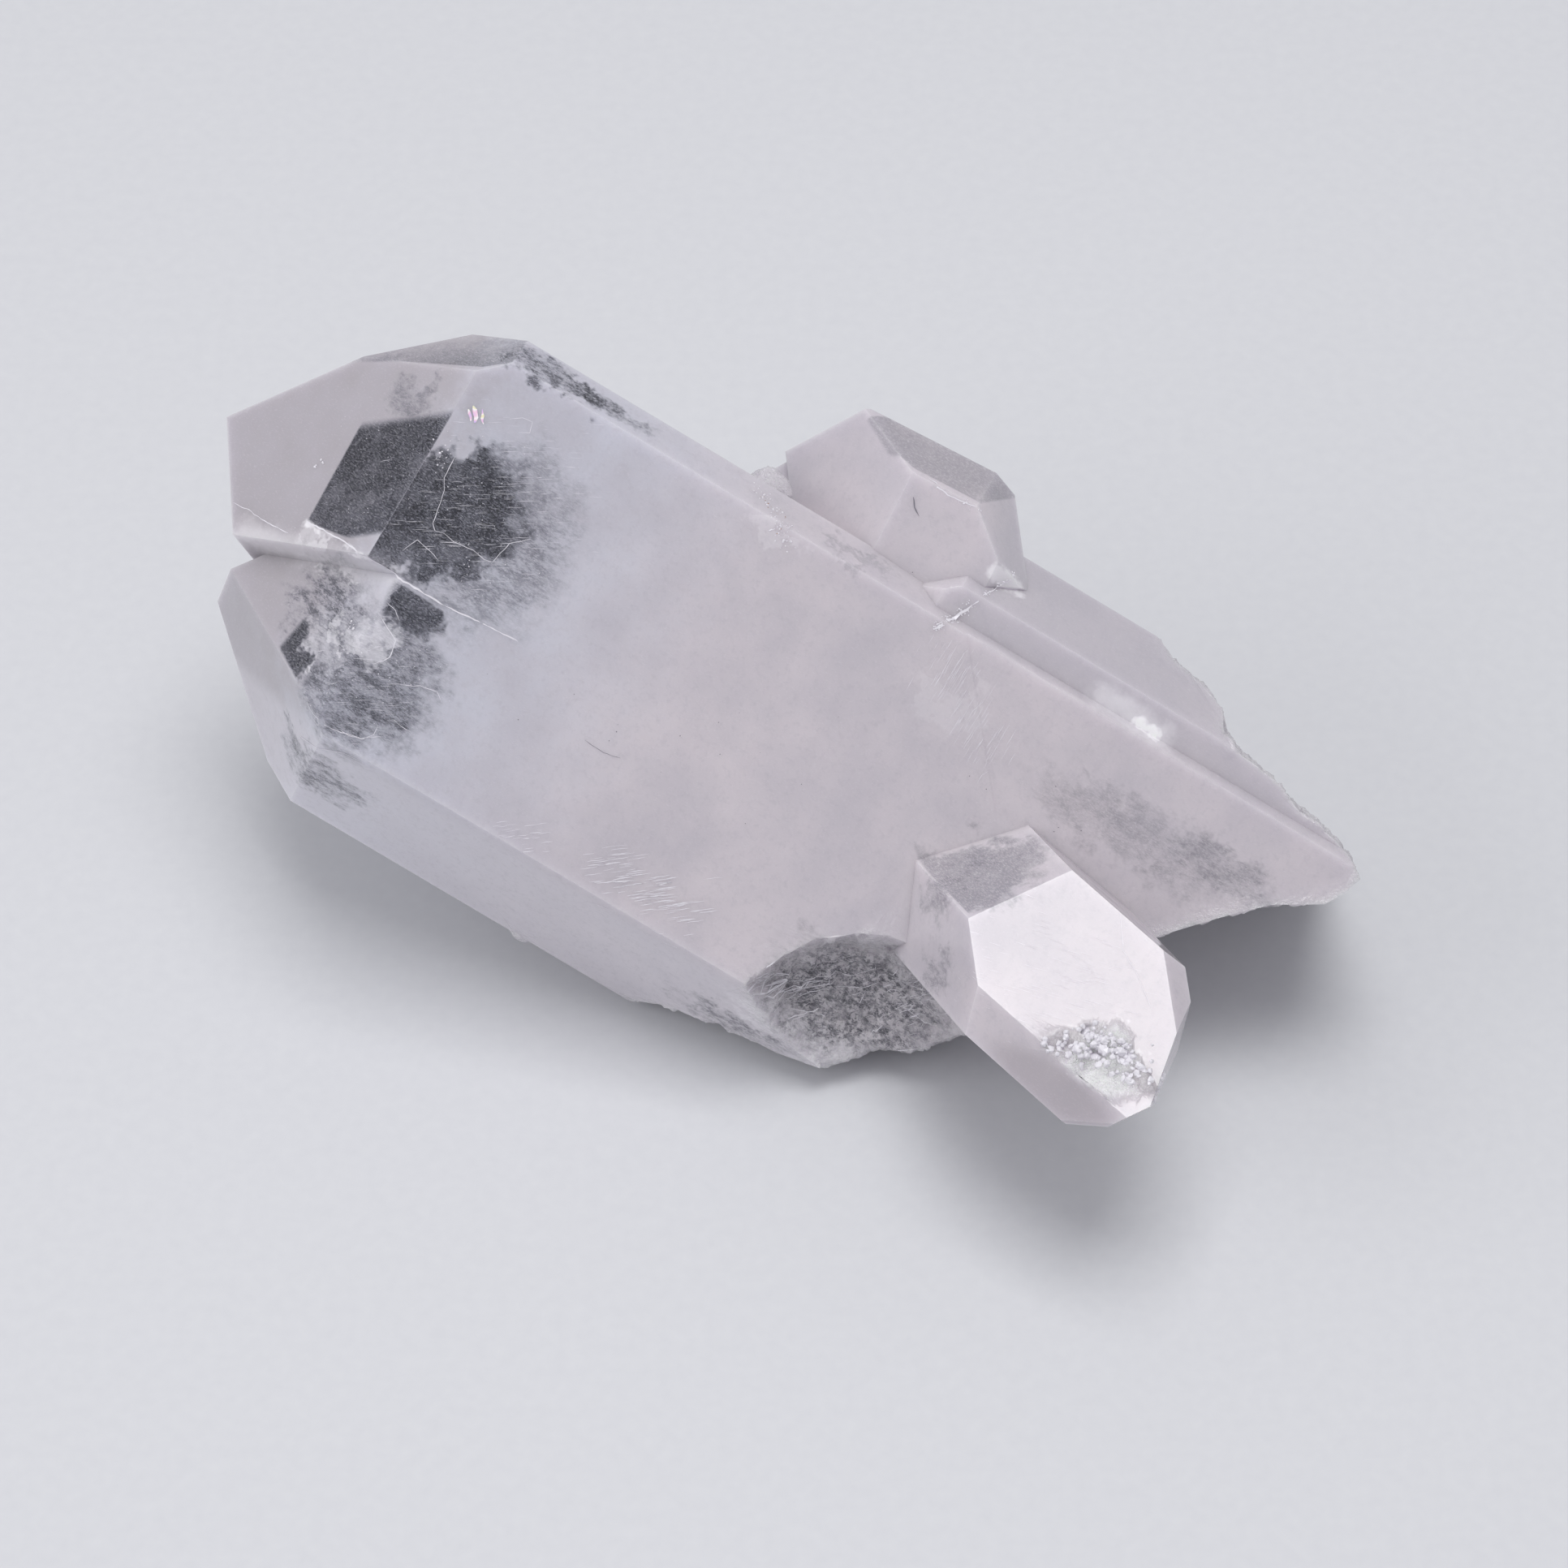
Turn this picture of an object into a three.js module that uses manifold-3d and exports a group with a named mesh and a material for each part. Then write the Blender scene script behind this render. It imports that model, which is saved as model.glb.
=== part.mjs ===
// A hand-sized cluster of intergrown quartz crystals, lying as it rests on a table.
// Millimetres, +Z up. The resting surface is z = 0, and the origin is under the middle of the cluster.
//
// A flat blade of quartz carries smaller crystals: strips that share its directions along its upper edge
// and behind it, a stub that has grown with faces at both ends, and one that points down to the front.
// The right end and the root are a rough break, and the underside rests on a few worn spots.

import * as THREE from "three";
import { ConvexGeometry } from "three/addons/geometries/ConvexGeometry.js";
import { mergeVertices } from "three/addons/utils/BufferGeometryUtils.js";
import Module from "manifold-3d";

const wasm = await Module();
wasm.setup();

// ---------------------------------------------------------------------------------------------------
// Driving dimensions
// ---------------------------------------------------------------------------------------------------

// A tip face of quartz leans this far from the prism face under it.
const TIP_FACE_LEAN = 38.2;

// How a crystal lies: the compass heading of its tip seen from above (0 = +X, 90 = +Y), how far the tip
// rises above the table, and the turn about its own length.
const BLADE_LIE = { heading: 157.3, rise: 21.5, turn: -40.8 };
const STUB_LIE = { heading: 156.8, rise: 15.0, turn: -41.6 };
const FRONT_LIE = { heading: -67.2, rise: 22.5, turn: 7.4 };

const BLADE_TIP = [-42.5, 28.6, 33.2];
const STUB_TIP = [0.1, 26.7, 31.4];
const FRONT_MIDDLE = [18.2, -11.6, 17.0];

// Every crystal is a six-sided prism about a line through `at`.
//   sides: distance of the six prism faces from that line, going round
//   tip:   height above `at` where each of the six tip faces crosses the line
//   tail:  the same for the six faces of the lower end, or one number for a plain end inside the cluster
const CRYSTALS = {
  blade: {
    at: BLADE_TIP, lie: BLADE_LIE,
    sides: [11.9, 19.0, 10.4, 4.3, 16.0, 8.2], tip: [0, 7.0, 0, 6.5, 0, 9.0], tail: 100,
  },
  lowerBlade: {
    at: BLADE_TIP, lie: BLADE_LIE,
    sides: [11.9, 9.0, 4.0, 4.3, 20.1, 19.6], tip: [-3.0, 10.0, -18.5, 2.0, 9.7, 5.9], tail: 100,
  },
  rightStrip: {
    at: BLADE_TIP, lie: BLADE_LIE,
    sides: [10.8, 21.0, 17.3, 5.5, 4.0, 2.0], tip: [-39.5, -27.5, -33, -28, -30, -30], tail: 100,
  },
  backStrip: {
    at: BLADE_TIP, lie: BLADE_LIE,
    sides: [2.4, 16.0, 18.6, 12.5, 5.0, 3.0], tip: [-34, -32, -33, -30, -32, -30], tail: 100,
  },
  backBlade: {
    at: BLADE_TIP, lie: BLADE_LIE,
    sides: [2.0, 9.0, 13.6, 15.2, 19.0, 12.0], tip: [-27, -22, -28, -24, -25, -20], tail: 100,
  },
  stub: {
    at: STUB_TIP, lie: STUB_LIE,
    sides: [7.7, 6.6, 3.6, 7.5, 7.0, 8.0], tip: [0, 20, 0, 20, 0, 20],
    tail: [28.3, 23.6, 36, 15.3, 38, 25.5],
  },
  stubNeighbour: {
    at: STUB_TIP, lie: STUB_LIE,
    sides: [6.5, 5.0, 2.4, 6.0, 8.0, 9.0], tip: [-0.8, 20, -1.0, 20, 2.4, 20], tail: 12,
  },
  front: {
    at: FRONT_MIDDLE, lie: FRONT_LIE,
    sides: [6.0, 6.1, 6.6, 6.5, 8.7, 7.3], tip: [7.6, 11.6, 19.2, 21.6, 19.7, 15.9], tail: 13,
  },
};

// The break, seen square to the blade's front face: points across the blade and along it from the tip.
const BREAK_OUTLINE = [
  [-29.0, -47.5], [-23.0, -48.7], [-21.4, -52.2], [-20.6, -56.0], [-20.2, -59.6], [-18.9, -64.7],
  [-16.4, -67.0], [-13.6, -70.5], [-8.0, -73.5], [-2.0, -77.5], [3.0, -80.0], [6.3, -83.0],
  [8.5, -85.1], [11.7, -89.8], [14.3, -90.9], [15.3, -90.5], [16.3, -87.5], [16.3, -84.3],
  [17.2, -82.8], [17.7, -80.8], [18.0, -77.4], [19.9, -76.4], [20.6, -74.6], [21.2, -71.5], [24.0, -65.0],
];
const BREAK_CENTRE = [0, -45];
const BREAK_STEP = 1.7;
const BREAK_DEPTH = { front: 14, back: -18, step: 2.1 };
const BREAK_RELIEF = 0.9;
const BREAK_LUMP = 2.2;
const BREAK_REACH = 40;

// The shell-shaped scoop where the root broke away under the front face.
const SCOOP = { at: [17.9, -17.2, -66.2], radii: [12.2, 12.0, 12.4], relief: 0.5, detail: 9 };

// The underside: a rough face a little above the table, with worn spots that stand on it.
const UNDERSIDE = { height: 0.9, relief: 0.5, lump: 2.6, step: 2, size: 100, floor: -40 };
const WORN_SLOPE = 0.55;
const WORN_SPOTS = [
  { x: -12, y: 0, r: 3.3 },
  { x: 20, y: 4, r: 3.6 },
  { x: -6, y: 14, r: 3.3 },
  { x: 16, y: 14, r: 3.0 },
];

// Small rounded buds of quartz on the blade's edges.
const BUD_RELIEF = 0.5;
const BUDS = [
  { at: [-19.9, 2.3, 4.2], radius: 1.6 },
  { at: [-1.2, 21.6, 32.3], radius: 2.0 },
];

// Chips knocked out of the front crystal's tip, in that crystal's own directions: a place and a size.
const CHIP_RELIEF = 0.35;
const CHIPS = [
  { at: [-0.8, 1.8, 9.9], radius: 1.5 },
  { at: [-0.4, -0.2, 10.0], radius: 1.3 },
  { at: [-1.7, 0.6, 11.6], radius: 1.7 },
  { at: [-1.7, -1.5, 12.2], radius: 1.6 },
  { at: [-2.9, -0.4, 13.3], radius: 1.5 },
  { at: [-3.7, -2.0, 14.4], radius: 1.6 },
];

// Thin wedges taken off the blade's front face. Each corner is a place across the face, a place along it
// and how deep the wedge is there. One sets the lower half of the tip back at the seam between the two
// halves of the blade, and the other leaves a low ledge across the face near its right end.
const WEDGES = [
  [[-2.6, -6, 0.3], [-30, -6, 0.3], [-30, -28, 0], [-2.6, -28, 0]],
  [[16.0, -55.4, 0.2], [4.9, -64.8, 0.2], [6.0, -77.0, 0], [17.0, -70.0, 0]],
];
const WEDGE_LIFT = 0.02;

const QUARTZ_COLOUR = "#c9c4cc";

// ---------------------------------------------------------------------------------------------------
// Solids
// ---------------------------------------------------------------------------------------------------

const radians = THREE.MathUtils.degToRad;

/** A crystal's own axes: x square to its first prism face, z along its length. */
function crystalAxes({ heading, rise, turn }) {
  const h = radians(heading);
  const r = radians(rise);
  const t = radians(turn);
  const along = new THREE.Vector3(Math.cos(r) * Math.cos(h), Math.cos(r) * Math.sin(h), Math.sin(r));
  const up = new THREE.Vector3(-Math.sin(r) * Math.cos(h), -Math.sin(r) * Math.sin(h), Math.cos(r));
  const side = new THREE.Vector3(-Math.sin(h), Math.cos(h), 0);
  const x = up.clone().multiplyScalar(Math.cos(t)).addScaledVector(side, -Math.sin(t));
  const y = up.clone().multiplyScalar(-Math.sin(t)).addScaledVector(side, -Math.cos(t));
  return new THREE.Matrix4().makeBasis(x, y, along);
}

/** A closed mesh as a solid that can be joined and cut. */
function solidOf(geometry) {
  const bare = geometry.clone();
  bare.deleteAttribute("normal");
  bare.deleteAttribute("uv");
  const merged = mergeVertices(bare, 1e-5);
  return new wasm.Manifold(new wasm.Mesh({
    numProp: 3,
    vertProperties: new Float32Array(merged.attributes.position.array),
    triVerts: new Uint32Array(merged.index.array),
  }));
}

/** The corners of the space inside a set of planes. */
function cornersInside(planes) {
  const corners = [];
  const matrix = new THREE.Matrix3();
  for (let i = 0; i < planes.length; i++) {
    for (let j = i + 1; j < planes.length; j++) {
      for (let k = j + 1; k < planes.length; k++) {
        const [a, b, c] = [planes[i], planes[j], planes[k]];
        matrix.set(
          a.normal.x, a.normal.y, a.normal.z,
          b.normal.x, b.normal.y, b.normal.z,
          c.normal.x, c.normal.y, c.normal.z,
        );
        if (Math.abs(matrix.determinant()) < 1e-4) continue;
        const corner = new THREE.Vector3(a.distance, b.distance, c.distance).applyMatrix3(matrix.invert());
        if (planes.every((plane) => plane.normal.dot(corner) < plane.distance + 1e-6)) corners.push(corner);
      }
    }
  }
  return corners;
}

/** One crystal: a six-sided prism with six faces at its tip and a faced or plain tail. */
function crystal({ at, lie, sides, tip, tail }) {
  const lean = radians(TIP_FACE_LEAN);
  const planes = [];
  for (let i = 0; i < 6; i++) {
    const round = radians(60 * i);
    const out = new THREE.Vector3(Math.cos(round), Math.sin(round), 0);
    planes.push({ normal: out, distance: sides[i] });
    const tipNormal = out.clone().multiplyScalar(Math.cos(lean)).setZ(Math.sin(lean));
    planes.push({ normal: tipNormal, distance: tip[i] * Math.sin(lean) });
    if (Array.isArray(tail)) {
      const tailNormal = tipNormal.clone().setZ(-Math.sin(lean));
      planes.push({ normal: tailNormal, distance: tail[i] * Math.sin(lean) });
    }
  }
  if (!Array.isArray(tail)) planes.push({ normal: new THREE.Vector3(0, 0, -1), distance: tail });
  const geometry = new ConvexGeometry(cornersInside(planes));
  geometry.applyMatrix4(crystalAxes(lie).setPosition(...at));
  return solidOf(geometry);
}

/** Smooth lumps that never repeat: a few waves at odd angles, from about -1 to 1. */
function lumps(u, v, size) {
  const a = u / size;
  const b = v / size;
  const broad = Math.sin(a * 1.3 + 2.1 * Math.sin(b * 0.9)) * Math.cos(b * 1.1 + 0.7);
  const middle = Math.sin(a * 2.9 - b * 1.7 + 1.3) * Math.cos(b * 3.1 + a * 0.8);
  const fine = Math.sin(a * 6.1 + b * 4.3) * Math.sin(b * 5.7 - a * 3.9 + 0.4);
  return 0.5 * broad + 0.32 * middle + 0.18 * fine;
}

/** A closed shell between two sheets of points with the same rows and columns. */
function shellBetween(near, far) {
  const rows = near.length;
  const columns = near[0].length;
  const positions = [...near.flat(), ...far.flat()].flatMap((point) => point.toArray());
  const index = [];
  const nearAt = (i, j) => i * columns + j;
  const farAt = (i, j) => rows * columns + i * columns + j;
  const quad = (a, b, c, d) => index.push(a, b, c, a, c, d);
  for (let i = 0; i < rows - 1; i++) {
    for (let j = 0; j < columns - 1; j++) {
      quad(nearAt(i, j), nearAt(i, j + 1), nearAt(i + 1, j + 1), nearAt(i + 1, j));
      quad(farAt(i, j), farAt(i + 1, j), farAt(i + 1, j + 1), farAt(i, j + 1));
    }
  }
  for (let i = 0; i < rows - 1; i++) {
    const last = columns - 1;
    quad(nearAt(i, 0), nearAt(i + 1, 0), farAt(i + 1, 0), farAt(i, 0));
    quad(nearAt(i, last), farAt(i, last), farAt(i + 1, last), nearAt(i + 1, last));
  }
  for (let j = 0; j < columns - 1; j++) {
    const last = rows - 1;
    quad(nearAt(0, j), farAt(0, j), farAt(0, j + 1), nearAt(0, j + 1));
    quad(nearAt(last, j), nearAt(last, j + 1), farAt(last, j + 1), farAt(last, j));
  }
  const geometry = new THREE.BufferGeometry();
  geometry.setAttribute("position", new THREE.Float32BufferAttribute(positions, 3));
  geometry.setIndex(index);
  const solid = solidOf(geometry);
  return solid.volume() > 0 ? solid : solidOf(insideOut(geometry));
}

function insideOut(geometry) {
  const turned = geometry.clone();
  turned.setIndex(Array.from(geometry.index.array).reverse());
  return turned;
}

/** Points along the break's outline, at even steps. */
function outlinePoints() {
  const path = new THREE.CurvePath();
  for (let i = 0; i < BREAK_OUTLINE.length - 1; i++) {
    const from = new THREE.Vector2(...BREAK_OUTLINE[i]);
    const to = new THREE.Vector2(...BREAK_OUTLINE[i + 1]);
    path.add(new THREE.LineCurve(from, to));
  }
  return path.getSpacedPoints(Math.round(path.getLength() / BREAK_STEP));
}

/** What the break took away: everything outside a rough wall that follows the outline. */
function breakAway() {
  const axes = crystalAxes(BLADE_LIE).setPosition(...BLADE_TIP);
  const centre = new THREE.Vector2(...BREAK_CENTRE);
  const near = [];
  const far = [];
  outlinePoints().forEach((point, i) => {
    const ray = point.clone().sub(centre);
    const nearRow = [];
    const farRow = [];
    for (let x = BREAK_DEPTH.front; x > BREAK_DEPTH.back - BREAK_DEPTH.step; x -= BREAK_DEPTH.step) {
      const bite = BREAK_RELIEF * Math.max(0, lumps(i * BREAK_STEP, x, BREAK_LUMP));
      const inner = centre.clone().addScaledVector(ray, 1 - bite / ray.length());
      const outer = centre.clone().addScaledVector(ray, 1 + BREAK_REACH / ray.length());
      nearRow.push(new THREE.Vector3(x, inner.x, inner.y).applyMatrix4(axes));
      farRow.push(new THREE.Vector3(x, outer.x, outer.y).applyMatrix4(axes));
    }
    near.push(nearRow);
    far.push(farRow);
  });
  return shellBetween(near, far);
}

/** A rounded lump with an uneven skin. */
function roughBall(radii, relief, detail) {
  const geometry = new THREE.IcosahedronGeometry(1, detail);
  const position = geometry.attributes.position;
  const point = new THREE.Vector3();
  for (let i = 0; i < position.count; i++) {
    point.fromBufferAttribute(position, i);
    const swell = relief * lumps(point.x * 9 + point.z * 4, point.y * 9 - point.z * 6, 2.0);
    point.set(point.x * (radii[0] + swell), point.y * (radii[1] + swell), point.z * (radii[2] + swell));
    position.setXYZ(i, point.x, point.y, point.z);
  }
  return geometry;
}

/** The conchoidal scoop under the front face, as a ball to cut away. */
function scoop() {
  const geometry = roughBall(SCOOP.radii, SCOOP.relief, SCOOP.detail);
  geometry.translate(...SCOOP.at);
  geometry.applyMatrix4(crystalAxes(BLADE_LIE).setPosition(...BLADE_TIP));
  return solidOf(geometry);
}

/** The chips of the front crystal, as rough balls to cut away. */
function chips() {
  const axes = crystalAxes(FRONT_LIE).setPosition(...FRONT_MIDDLE);
  return CHIPS.map(({ at, radius }, i) => {
    const geometry = roughBall([radius, radius * 0.9, radius * 1.15], radius * CHIP_RELIEF, 2);
    geometry.rotateZ(i);
    geometry.translate(...at);
    geometry.applyMatrix4(axes);
    return solidOf(geometry);
  });
}

/** A thin wedge to take off the blade's front face. */
function wedge(corners) {
  const face = CRYSTALS.blade.sides[0];
  const low = corners.map(([across, along, depth]) => new THREE.Vector3(face + WEDGE_LIFT - depth, across, along));
  const high = corners.map(([across, along]) => new THREE.Vector3(face + 1, across, along));
  const geometry = new ConvexGeometry([...low, ...high]);
  geometry.applyMatrix4(crystalAxes(BLADE_LIE).setPosition(...BLADE_TIP));
  return solidOf(geometry);
}

/** Everything under the cluster's rough underside. It dips to the table at the worn spots. */
function underneath() {
  const near = [];
  const far = [];
  const half = UNDERSIDE.size / 2;
  const count = Math.round(UNDERSIDE.size / UNDERSIDE.step);
  for (let i = 0; i <= count; i++) {
    const nearRow = [];
    const farRow = [];
    for (let j = 0; j <= count; j++) {
      const x = -half + i * UNDERSIDE.step;
      const y = -half + j * UNDERSIDE.step;
      let height = UNDERSIDE.height + UNDERSIDE.relief * lumps(x, y, UNDERSIDE.lump);
      for (const spot of WORN_SPOTS) {
        const beyond = Math.hypot(x - spot.x, y - spot.y) - spot.r;
        height = Math.min(height, Math.max(0, WORN_SLOPE * beyond));
      }
      nearRow.push(new THREE.Vector3(x, y, height));
      farRow.push(new THREE.Vector3(x, y, UNDERSIDE.floor));
    }
    near.push(nearRow);
    far.push(farRow);
  }
  return shellBetween(near, far);
}

// ---------------------------------------------------------------------------------------------------
// The cluster
// ---------------------------------------------------------------------------------------------------

function cluster() {
  const { blade, lowerBlade, rightStrip, backStrip, backBlade, stub, stubNeighbour, front } = CRYSTALS;
  let body = crystal(blade);
  for (const grown of [lowerBlade, rightStrip, backStrip, backBlade]) body = body.add(crystal(grown));
  for (const cut of [breakAway(), scoop(), ...WEDGES.map(wedge)]) body = body.subtract(cut);
  let frontCrystal = crystal(front);
  for (const chip of chips()) frontCrystal = frontCrystal.subtract(chip);
  body = body.add(frontCrystal);
  for (const grown of [stub, stubNeighbour]) body = body.add(crystal(grown));
  for (const bud of BUDS) {
    const ball = roughBall([bud.radius, bud.radius, bud.radius], BUD_RELIEF, 3);
    ball.translate(...bud.at);
    body = body.add(solidOf(ball));
  }
  return body.subtract(underneath());
}

/** A solid as a mesh, set down with the origin under the middle of its box. */
function meshOf(solid, name, material) {
  const { vertProperties, triVerts } = solid.getMesh();
  const geometry = new THREE.BufferGeometry();
  geometry.setAttribute("position", new THREE.Float32BufferAttribute(vertProperties, 3));
  geometry.setIndex(Array.from(triVerts));
  geometry.computeBoundingBox();
  const middle = geometry.boundingBox.getCenter(new THREE.Vector3());
  geometry.translate(-middle.x, -middle.y, -geometry.boundingBox.min.z);
  geometry.computeVertexNormals();
  const mesh = new THREE.Mesh(geometry, material);
  mesh.name = name;
  return mesh;
}

const quartz = new THREE.MeshStandardMaterial({ color: QUARTZ_COLOUR, roughness: 0.12, metalness: 0 });
const part = new THREE.Group();
part.add(meshOf(cluster(), "quartz_cluster", quartz));

export default part;
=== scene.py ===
"""A hand-sized cluster of milky quartz with clear tips, on a pale table under an overhead softbox.

Metres in Blender. Sizes below are in millimetres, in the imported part's own frame.
"""

import math
import random

import bmesh
import bpy
import numpy as np
from mathutils import Matrix, Vector, noise
from mathutils.bvhtree import BVHTree


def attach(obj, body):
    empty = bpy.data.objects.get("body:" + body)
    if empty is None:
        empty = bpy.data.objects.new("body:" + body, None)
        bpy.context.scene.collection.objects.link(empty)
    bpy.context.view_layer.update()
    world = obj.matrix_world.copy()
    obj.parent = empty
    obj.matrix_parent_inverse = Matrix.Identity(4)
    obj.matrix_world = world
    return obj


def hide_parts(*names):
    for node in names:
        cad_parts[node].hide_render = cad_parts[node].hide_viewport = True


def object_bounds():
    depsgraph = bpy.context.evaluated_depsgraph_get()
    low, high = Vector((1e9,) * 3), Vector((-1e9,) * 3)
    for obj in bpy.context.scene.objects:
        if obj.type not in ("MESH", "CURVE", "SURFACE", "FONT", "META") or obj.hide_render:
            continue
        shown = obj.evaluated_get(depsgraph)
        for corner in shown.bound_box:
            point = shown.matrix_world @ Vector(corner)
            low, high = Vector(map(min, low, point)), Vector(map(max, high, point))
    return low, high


MM = 0.001
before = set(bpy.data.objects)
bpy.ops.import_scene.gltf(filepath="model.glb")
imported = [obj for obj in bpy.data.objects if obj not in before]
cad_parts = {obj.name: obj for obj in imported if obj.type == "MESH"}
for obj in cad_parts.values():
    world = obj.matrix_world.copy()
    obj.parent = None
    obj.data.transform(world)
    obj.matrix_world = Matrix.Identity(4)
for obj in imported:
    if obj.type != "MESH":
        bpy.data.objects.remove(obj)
cad_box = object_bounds()

# How each crystal lies: the heading of its tip from above, how far the tip rises, the turn about its length.
BLADE = {"at": (-42.13, 25.20, 33.20), "heading": 157.3, "rise": 21.5, "turn": -40.8}
STUB = {"at": (0.47, 23.30, 31.40), "heading": 156.8, "rise": 15.0, "turn": -41.6}
FRONT_CRYSTAL = {"at": (18.57, -15.00, 17.00), "heading": -67.2, "rise": 22.5, "turn": 7.4}
TIP_FACE_LEAN = 38.2

# Every place below is in the blade's own directions, in millimetres from its tip: x square to its broad
# front face, y across that face and z along the blade, so that the body lies at negative z.

# Clear windows under the flat faces: corners in order, how softly each side fades, starting with the side
# after the first corner, and how clear each one is.
WINDOWS = [
    # Under the blade's upper tip face.
    {
        "corners": [
            (7.7, -3.1, -9.8), (7.5, 5.1, -9.6), (11.9, 9.6, -15.2), (11.9, -0.6, -15.2),
            (10.3, -2.4, -13.0),
        ],
        "soft": [0.12, 0.45, 0.06, 0.3, 0.12],
        "amount": 0.95,
    },
    # Under the broad front face, above and below the notch.
    {
        "corners": [
            (11.9, 6.3, -15.2), (11.9, 9.1, -19.4), (11.9, 8.3, -23.2), (11.9, 5.2, -25.0),
            (11.9, 1.6, -24.2), (11.9, -1.4, -20.7), (11.9, -2.8, -18.1), (11.9, -2.7, -15.2),
        ],
        "soft": [0.9, 2.2, 2.6, 2.2, 1.5, 0.9, 0.1, 0.06],
        "amount": 1.0,
    },
    {
        "corners": [
            (11.9, -3.2, -17.9), (11.9, -3.3, -22.1), (11.9, -5.4, -22.9), (11.9, -6.6, -20.4),
            (11.9, -5.9, -18.0),
        ],
        "soft": [0.15, 1.0, 1.5, 1.5, 0.4],
        "amount": 0.95,
    },
    # Under the lower tip face.
    {
        "corners": [(7.7, -12.3, -12.8), (8.1, -9.4, -13.3), (9.6, -11.6, -15.2), (9.3, -13.3, -14.8)],
        "soft": [0.3, 0.7, 0.7, 0.15],
        "amount": 0.9,
    },
    # Along the tip's top edge.
    {
        "corners": [(5.9, 9.4, -7.5), (8.7, 16.9, -17.0), (11.7, 15.1, -17.1), (11.5, 13.7, -15.4)],
        "soft": [3.0, 0.1, 0.1, 0.1],
        "amount": 0.45,
    },
    # Under the stub's top face.
    {
        "corners": [
            (5.8, 25.5, -41.0), (1.85, 27.8, -46.0), (1.85, 27.8, -54.5), (4.0, 26.55, -54.6),
            (8.8, 23.8, -52.2), (8.5, 23.95, -46.7),
        ],
        "soft": [0.15, 0.1, 0.1, 0.1, 0.12, 0.1],
        "amount": 0.25,
    },
    # Under the front crystal's top face.
    {
        "corners": [
            (11.9, -0.6, -61.3), (13.1, 4.7, -67.8), (17.3, 3.8, -69.7), (19.4, 1.5, -69.0),
            (20.0, -2.0, -66.2), (13.6, -1.4, -62.6),
        ],
        "soft": [0.9, 1.8, 1.8, 0.9, 0.06, 0.2],
        "amount": 0.34,
    },
]
WINDOW_DEPTH = 1.2

# Cloudy quartz that thins to clear: a middle, three radii, how clear it gets, and how much of that is
# broken up by mottling.
CLEAR_ZONES = [
    # The tip.
    ((11.9, 3.2, -22.4), (3.5, 7.4, 6.2), 0.5, 0.7),
    ((11.5, -10.6, -19.5), (3.5, 5.8, 5.8), 0.8, 0.6),
    ((9.0, -7.6, -14.2), (3.2, 3.6, 4.6), 0.75, 0.9),
    ((5.5, -19.0, -19.5), (4.0, 2.2, 4.5), 0.7, 0.8),
    ((9.2, 9.0, -12.2), (2.2, 1.8, 3.4), 0.4, 0.7),
    ((10.4, 16.0, -20.8), (1.7, 1.6, 7.0), 0.95, 0.75),
    # The scoop, the front crystal, the right end and the strip by the bud.
    ((7.4, -13.0, -63.2), (6.5, 5.2, 8.2), 0.8, 0.55),
    ((15.4, 0.3, -65.0), (3.4, 4.5, 3.9), 0.45, 0.6),
    ((5.0, -19.6, -57.5), (2.6, 1.4, 6.0), 0.6, 0.85),
    ((17.0, -7.0, -66.5), (2.6, 1.8, 3.4), 0.3, 0.8),
    ((11.5, 8.6, -74.5), (2.6, 2.6, 8.5), 0.26, 0.6),
    ((11.5, 9.8, -81.5), (2.6, 1.9, 5.0), 0.36, 0.6),
    ((10.7, 15.8, -46.2), (1.2, 0.9, 3.5), 0.2, 0.4),
    # The back.
    ((-4.0, 13.0, -16.0), (5.0, 6.0, 8.0), 0.6, 0.5),
    ((-4.3, -3.0, -14.0), (2.0, 4.0, 6.0), 0.35, 0.9),
    ((-6.5, -2.0, -32.5), (3.0, 3.5, 5.0), 0.55, 0.8),
    ((-12.5, 3.0, -41.0), (3.0, 3.0, 5.0), 0.45, 0.8),
    ((-13.5, 7.5, -55.0), (2.5, 3.5, 5.5), 0.3, 0.9),
]

# Flat cloudy shards that hang in the clear quartz at the tip, given as the windows are.
CLOUDY_SHARDS = [
    {
        "corners": [
            (10.9, -3.2, -15.1), (11.8, -3.2, -18.2), (11.8, -5.9, -18.2), (10.3, -6.5, -16.1),
            (9.4, -5.0, -14.9),
        ],
        "soft": [0.1, 0.06, 0.3, 0.5, 0.4],
        "amount": 0.75,
    },
    {
        "corners": [
            (10.9, -7.5, -16.8), (11.8, -6.1, -18.3), (11.8, -7.0, -20.1), (11.8, -8.6, -20.2),
            (11.8, -9.3, -19.3), (11.8, -9.2, -18.4),
        ],
        "soft": [0.45, 0.12, 0.08, 0.08, 0.12, 0.45],
        "amount": 0.95,
    },
    {
        "corners": [
            (8.2, -9.4, -13.4), (9.0, -8.3, -14.5), (10.1, -9.4, -15.9), (10.4, -10.4, -16.2),
            (9.4, -10.8, -15.0),
        ],
        "soft": [0.4, 0.15, 0.15, 0.2, 0.1],
        "amount": 0.8,
    },
    {
        "corners": [
            (9.8, -10.2, -15.5), (10.3, -9.3, -16.0), (11.5, -10.3, -17.6), (11.4, -11.8, -17.5),
            (10.9, -12.0, -16.8),
        ],
        "soft": [0.3, 0.4, 0.12, 0.2, 0.4],
        "amount": 0.8,
    },
]

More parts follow.
